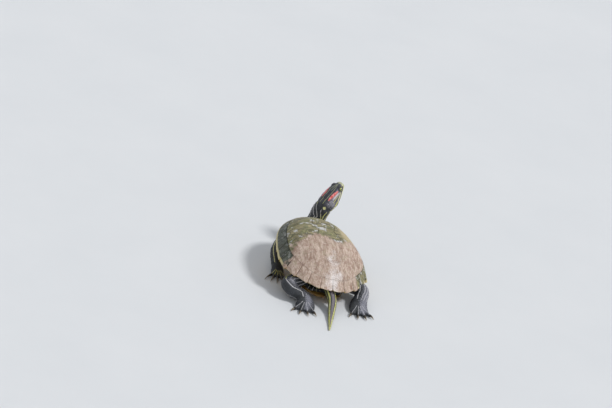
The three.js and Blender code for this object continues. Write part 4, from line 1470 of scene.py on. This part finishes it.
skin_polygons = [face for faces in skin_faces for face in faces.tolist()]
skin_tree = BVHTree.FromPolygons(skin_points.tolist(), skin_polygons)
SCALE_SIDES = 14
SCALE_ROW = 2.5
SCALE_STEP = 3.0
SCALE_WIDTH, SCALE_LENGTH = 1.5, 1.35
SCALE_TILT = 0.16
LOWEST_SCALE = 3.5
# A scale's rings from the top to the bottom, as share of its size and height over the skin.
SCALE_TOP, SCALE_BOTTOM = 0.42, -0.5
SCALE_RINGS = [(0.4, 0.4), (0.72, 0.32), (0.92, 0.2), (1.0, 0.02), (0.96, -0.35)]
BAKE_PATCH_HALF = 0.0015
BAKE_PATCH_MM = 1.6
# Reach of the first and the last row as shares of the leg, the bearing of the middle, its half width.
SCALE_FIELDS = {
    "left_foreleg": (0.4, 0.74, 150, 75),
    "right_foreleg": (0.42, 0.78, 140, 75),
    "left_hindleg": (0.5, 0.74, 110, 80),
    "right_hindleg": (0.45, 0.74, 70, 80),
}


def leg_scales(name, order):
    """Domed scales in staggered rows over one leg, each lapping the next towards the toes."""
    line = limb_lines[name]
    first, last, middle, half = SCALE_FIELDS[name]
    length = line.reach[-1]
    parts, texture = [], []
    rows = int((last - first) * length / SCALE_ROW)
    angle = circle(SCALE_SIDES)
    for row in range(rows):
        share = first + (last - first) * row / rows
        k = np.argmin(np.abs(line.reach - share * length))
        around = math.degrees(SCALE_STEP / line.half_width[k])
        for n in range(int(2 * half / around)):
            bearing = middle - half + around * (n + 0.5 * (row % 2) + 0.25)
            turned = math.radians(bearing)
            towards = line.across[k] * math.cos(turned) + line.up[k] * math.sin(turned)
            hit, normal, _, _ = skin_tree.ray_cast(Vector(line.centre[k]), Vector(towards), 30)
            if hit is None or hit.z < LOWEST_SCALE:
                continue
            hit, normal = np.array(hit), np.array(normal)
            normal *= np.sign(normal @ towards)
            away = np.abs(bearing - middle) / half
            size = (1 - 0.35 * away**2) * (0.9 + 0.12 * math.sin(12.9 * n + 7.7 * row))
            run = unit(line.along[k] - normal * (normal @ line.along[k]))
            wide = np.cross(normal, run)
            normal = normal - SCALE_TILT * run
            outline = wide * (SCALE_WIDTH * size * np.cos(angle))[:, None]
            outline = outline + run * (SCALE_LENGTH * size * np.sin(angle))[:, None]
            made, faces = loft([hit + s * outline + h * normal for s, h in SCALE_RINGS])
            made[-2:] = hit + SCALE_TOP * normal, hit + SCALE_BOTTOM * normal
            parts.append((made, flipped(faces)))
            # Each scale bakes from a patch of its own.
            root = np.array([(order + share) / 4, (bearing % 360) / 360])
            spots = np.column_stack([(made - hit) @ wide, (made - hit) @ run]) / BAKE_PATCH_MM
            texture.append(root + np.clip(spots, -1, 1) * BAKE_PATCH_HALF)
    points, faces = joined(parts)
    nodes = [f"{name}_upper", f"{name}_foot"]
    mesh = add_piece(f"{name}_scales", points, faces, SKIN, nodes, skin_marks(points)).data
    uv = np.concatenate(texture)[read(mesh.loops, "vertex_index")].astype(np.float32)
    mesh.uv_layers.new(name="OFBake").data.foreach_set("uv", uv.ravel())


for order, name in enumerate(LIMBS):
    leg_scales(name, order)

# ---------------- eyes


def eye_paint():
    p = Paint("eye_gloss")
    spot = p.vector("spot")
    parts = p.node("ShaderNodeSeparateXYZ", {"Vector": spot}).outputs
    x, y = parts["X"], parts["Y"]
    off = p.math("SQRT", p.plus(p.times(x, x), p.times(y, y)))
    flecks = p.noise(spot, 3.2, 5.0, rough=0.7)
    iris = p.coats((112, 124, 40), (flecks, 0.35, 0.65, 1, (196, 204, 96)))
    bar = p.swung(p.math("ABSOLUTE", y), flecks, 0.7)
    colour = p.coats(
        (214, 216, 124),
        (off, 1.15, 1.5, 1, iris),
        (bar, 0.85, 0.6, 1, (28, 24, 18)),
        (off, 1.12, 1.0, 1, (4, 4, 4)),
        (off, 2.35, 2.7, 1, (36, 34, 28)),
    )
    return p.finish(colour, 0.06, Coat_Weight=1.0, Coat_Roughness=0.03)


EYE = (eye_paint(), "eyes")
CORNEA_BULGE = 0.22
for side_name, side in SIDES:
    middle, axis, snoutward, upward = eye_frame(side)
    polar = np.linspace(0.02, math.pi - 0.02, 40)[:, None]
    bulge = EYE_RADIUS + CORNEA_BULGE * bell(polar, 0.5)
    made, faces = loft(around_eye(side, circle(64)[None, :], polar, bulge))
    spot = np.column_stack([(made - middle) @ direction for direction in (snoutward, upward, axis)])
    name, faces = f"eyeball_{side_name}", flipped(faces, side > 0)
    add_piece(name, from_head(made), faces, EYE, [f"eye_{side_name}"], {"spot": spot})

# ---------------- claws


def claw_paint():
    p = Paint("claw_horn")
    grain = p.noise(p.stretch(p.vector("body"), (0.9, 0.9, 2.0)), 1.4, 4.0)
    root_to_tip = (p.value("run"), 0.15, 0.95, 1, (132, 116, 90))
    colour = p.coats((44, 38, 32), root_to_tip, (grain, 0.5, 0.7, 0.45, (20, 18, 15)))
    return p.finish(colour, 0.3, p.bump(grain, 0.0001, 0.5))


CLAW = (claw_paint(), "claws")
CLAW_RADIUS = 2.1
CLAW_TIP = 1.0
for name, limb in LIMBS.items():
    for number, toe in enumerate(headings(limb), 1):
        along, _, tip = digit_ends(limb, toe)
        stations = []
        for share in np.linspace(0, 1, 9):
            centre = tip + along * (-0.6 + (limb["claw"] + 1.2) * share)
            arch = 0.9 * math.sin(math.pi * min(1, share * 1.15))
            centre[2] = tip[2] + arch - (tip[2] - CLAW_TIP) * share**2
            size = CLAW_RADIUS * (1 - share**1.25) + 0.12
            stations.append([*centre, size * 0.82, size * 1.05])
        made, faces = Line(stations, 28).solid(20)
        made[:, 2] = np.maximum(made[:, 2], 0.05)
        facts = {"run": np.clip(((made - tip) @ along) / limb["claw"], 0, 1), "body": made}
        add_piece(f"{name}_nail_{number}", made, faces, CLAW, [f"{name}_claw_{number}"], facts)

# ---------------- floor and light

FLOOR_HALF = 20
HORIZON = (0.68, 0.71, 0.745, 1)
ZENITH = (0.40, 0.42, 0.45, 1)


def floor_paint():
    p = Paint("studio_floor")
    grain = p.noise(p.node("ShaderNodeTexCoord").outputs["Object"], 6.0, 4.0)
    return p.finish(p.mix(grain, (206, 208, 210), (214, 215, 216)), 0.8)


floor_mesh = bpy.data.meshes.new("floor")
corners = [(x * FLOOR_HALF, y * FLOOR_HALF, 0) for x, y in ((-1, -1), (1, -1), (1, 1), (-1, 1))]
floor_mesh.from_pydata(corners, [], [(0, 1, 2, 3)])
floor_mesh.materials.append(floor_paint())
floor = in_scene("floor", floor_mesh)


def sun(name, towards, degrees_wide, energy):
    """A sun seen in the direction towards, as wide as a soft box."""
    light = in_scene(name, bpy.data.lights.new(name, "SUN"))
    light.data.angle = math.radians(degrees_wide)
    light.data.energy = energy
    light.rotation_mode = "QUATERNION"
    light.rotation_quaternion = Vector(towards).to_track_quat("Z", "Y")


sun("key", (-1.15, 0.55, 1.6), 12, 2.15)
sun("fill", (1.2, 1.4, 0.8), 70, 0.35)
sun("rim", (-0.5, -1.6, 1.3), 50, 0.45)
world = bpy.data.worlds.new("studio")
bpy.context.scene.world = world
world.use_nodes = True
sky = Nodes(world.node_tree)
direction = sky.node("ShaderNodeTexCoord").outputs["Generated"]
height = sky.node("ShaderNodeSeparateXYZ", {0: direction}).outputs["Z"]
ramp = sky.node("ShaderNodeValToRGB", {"Fac": height})
for element, position, colour in zip(ramp.color_ramp.elements, (0.02, 0.45), (HORIZON, ZENITH)):
    element.position, element.color = position, colour
sky.plug(sky.tree.nodes["Background"].inputs["Color"], ramp.outputs["Color"])
bpy.context.scene.view_settings.view_transform = "Standard"
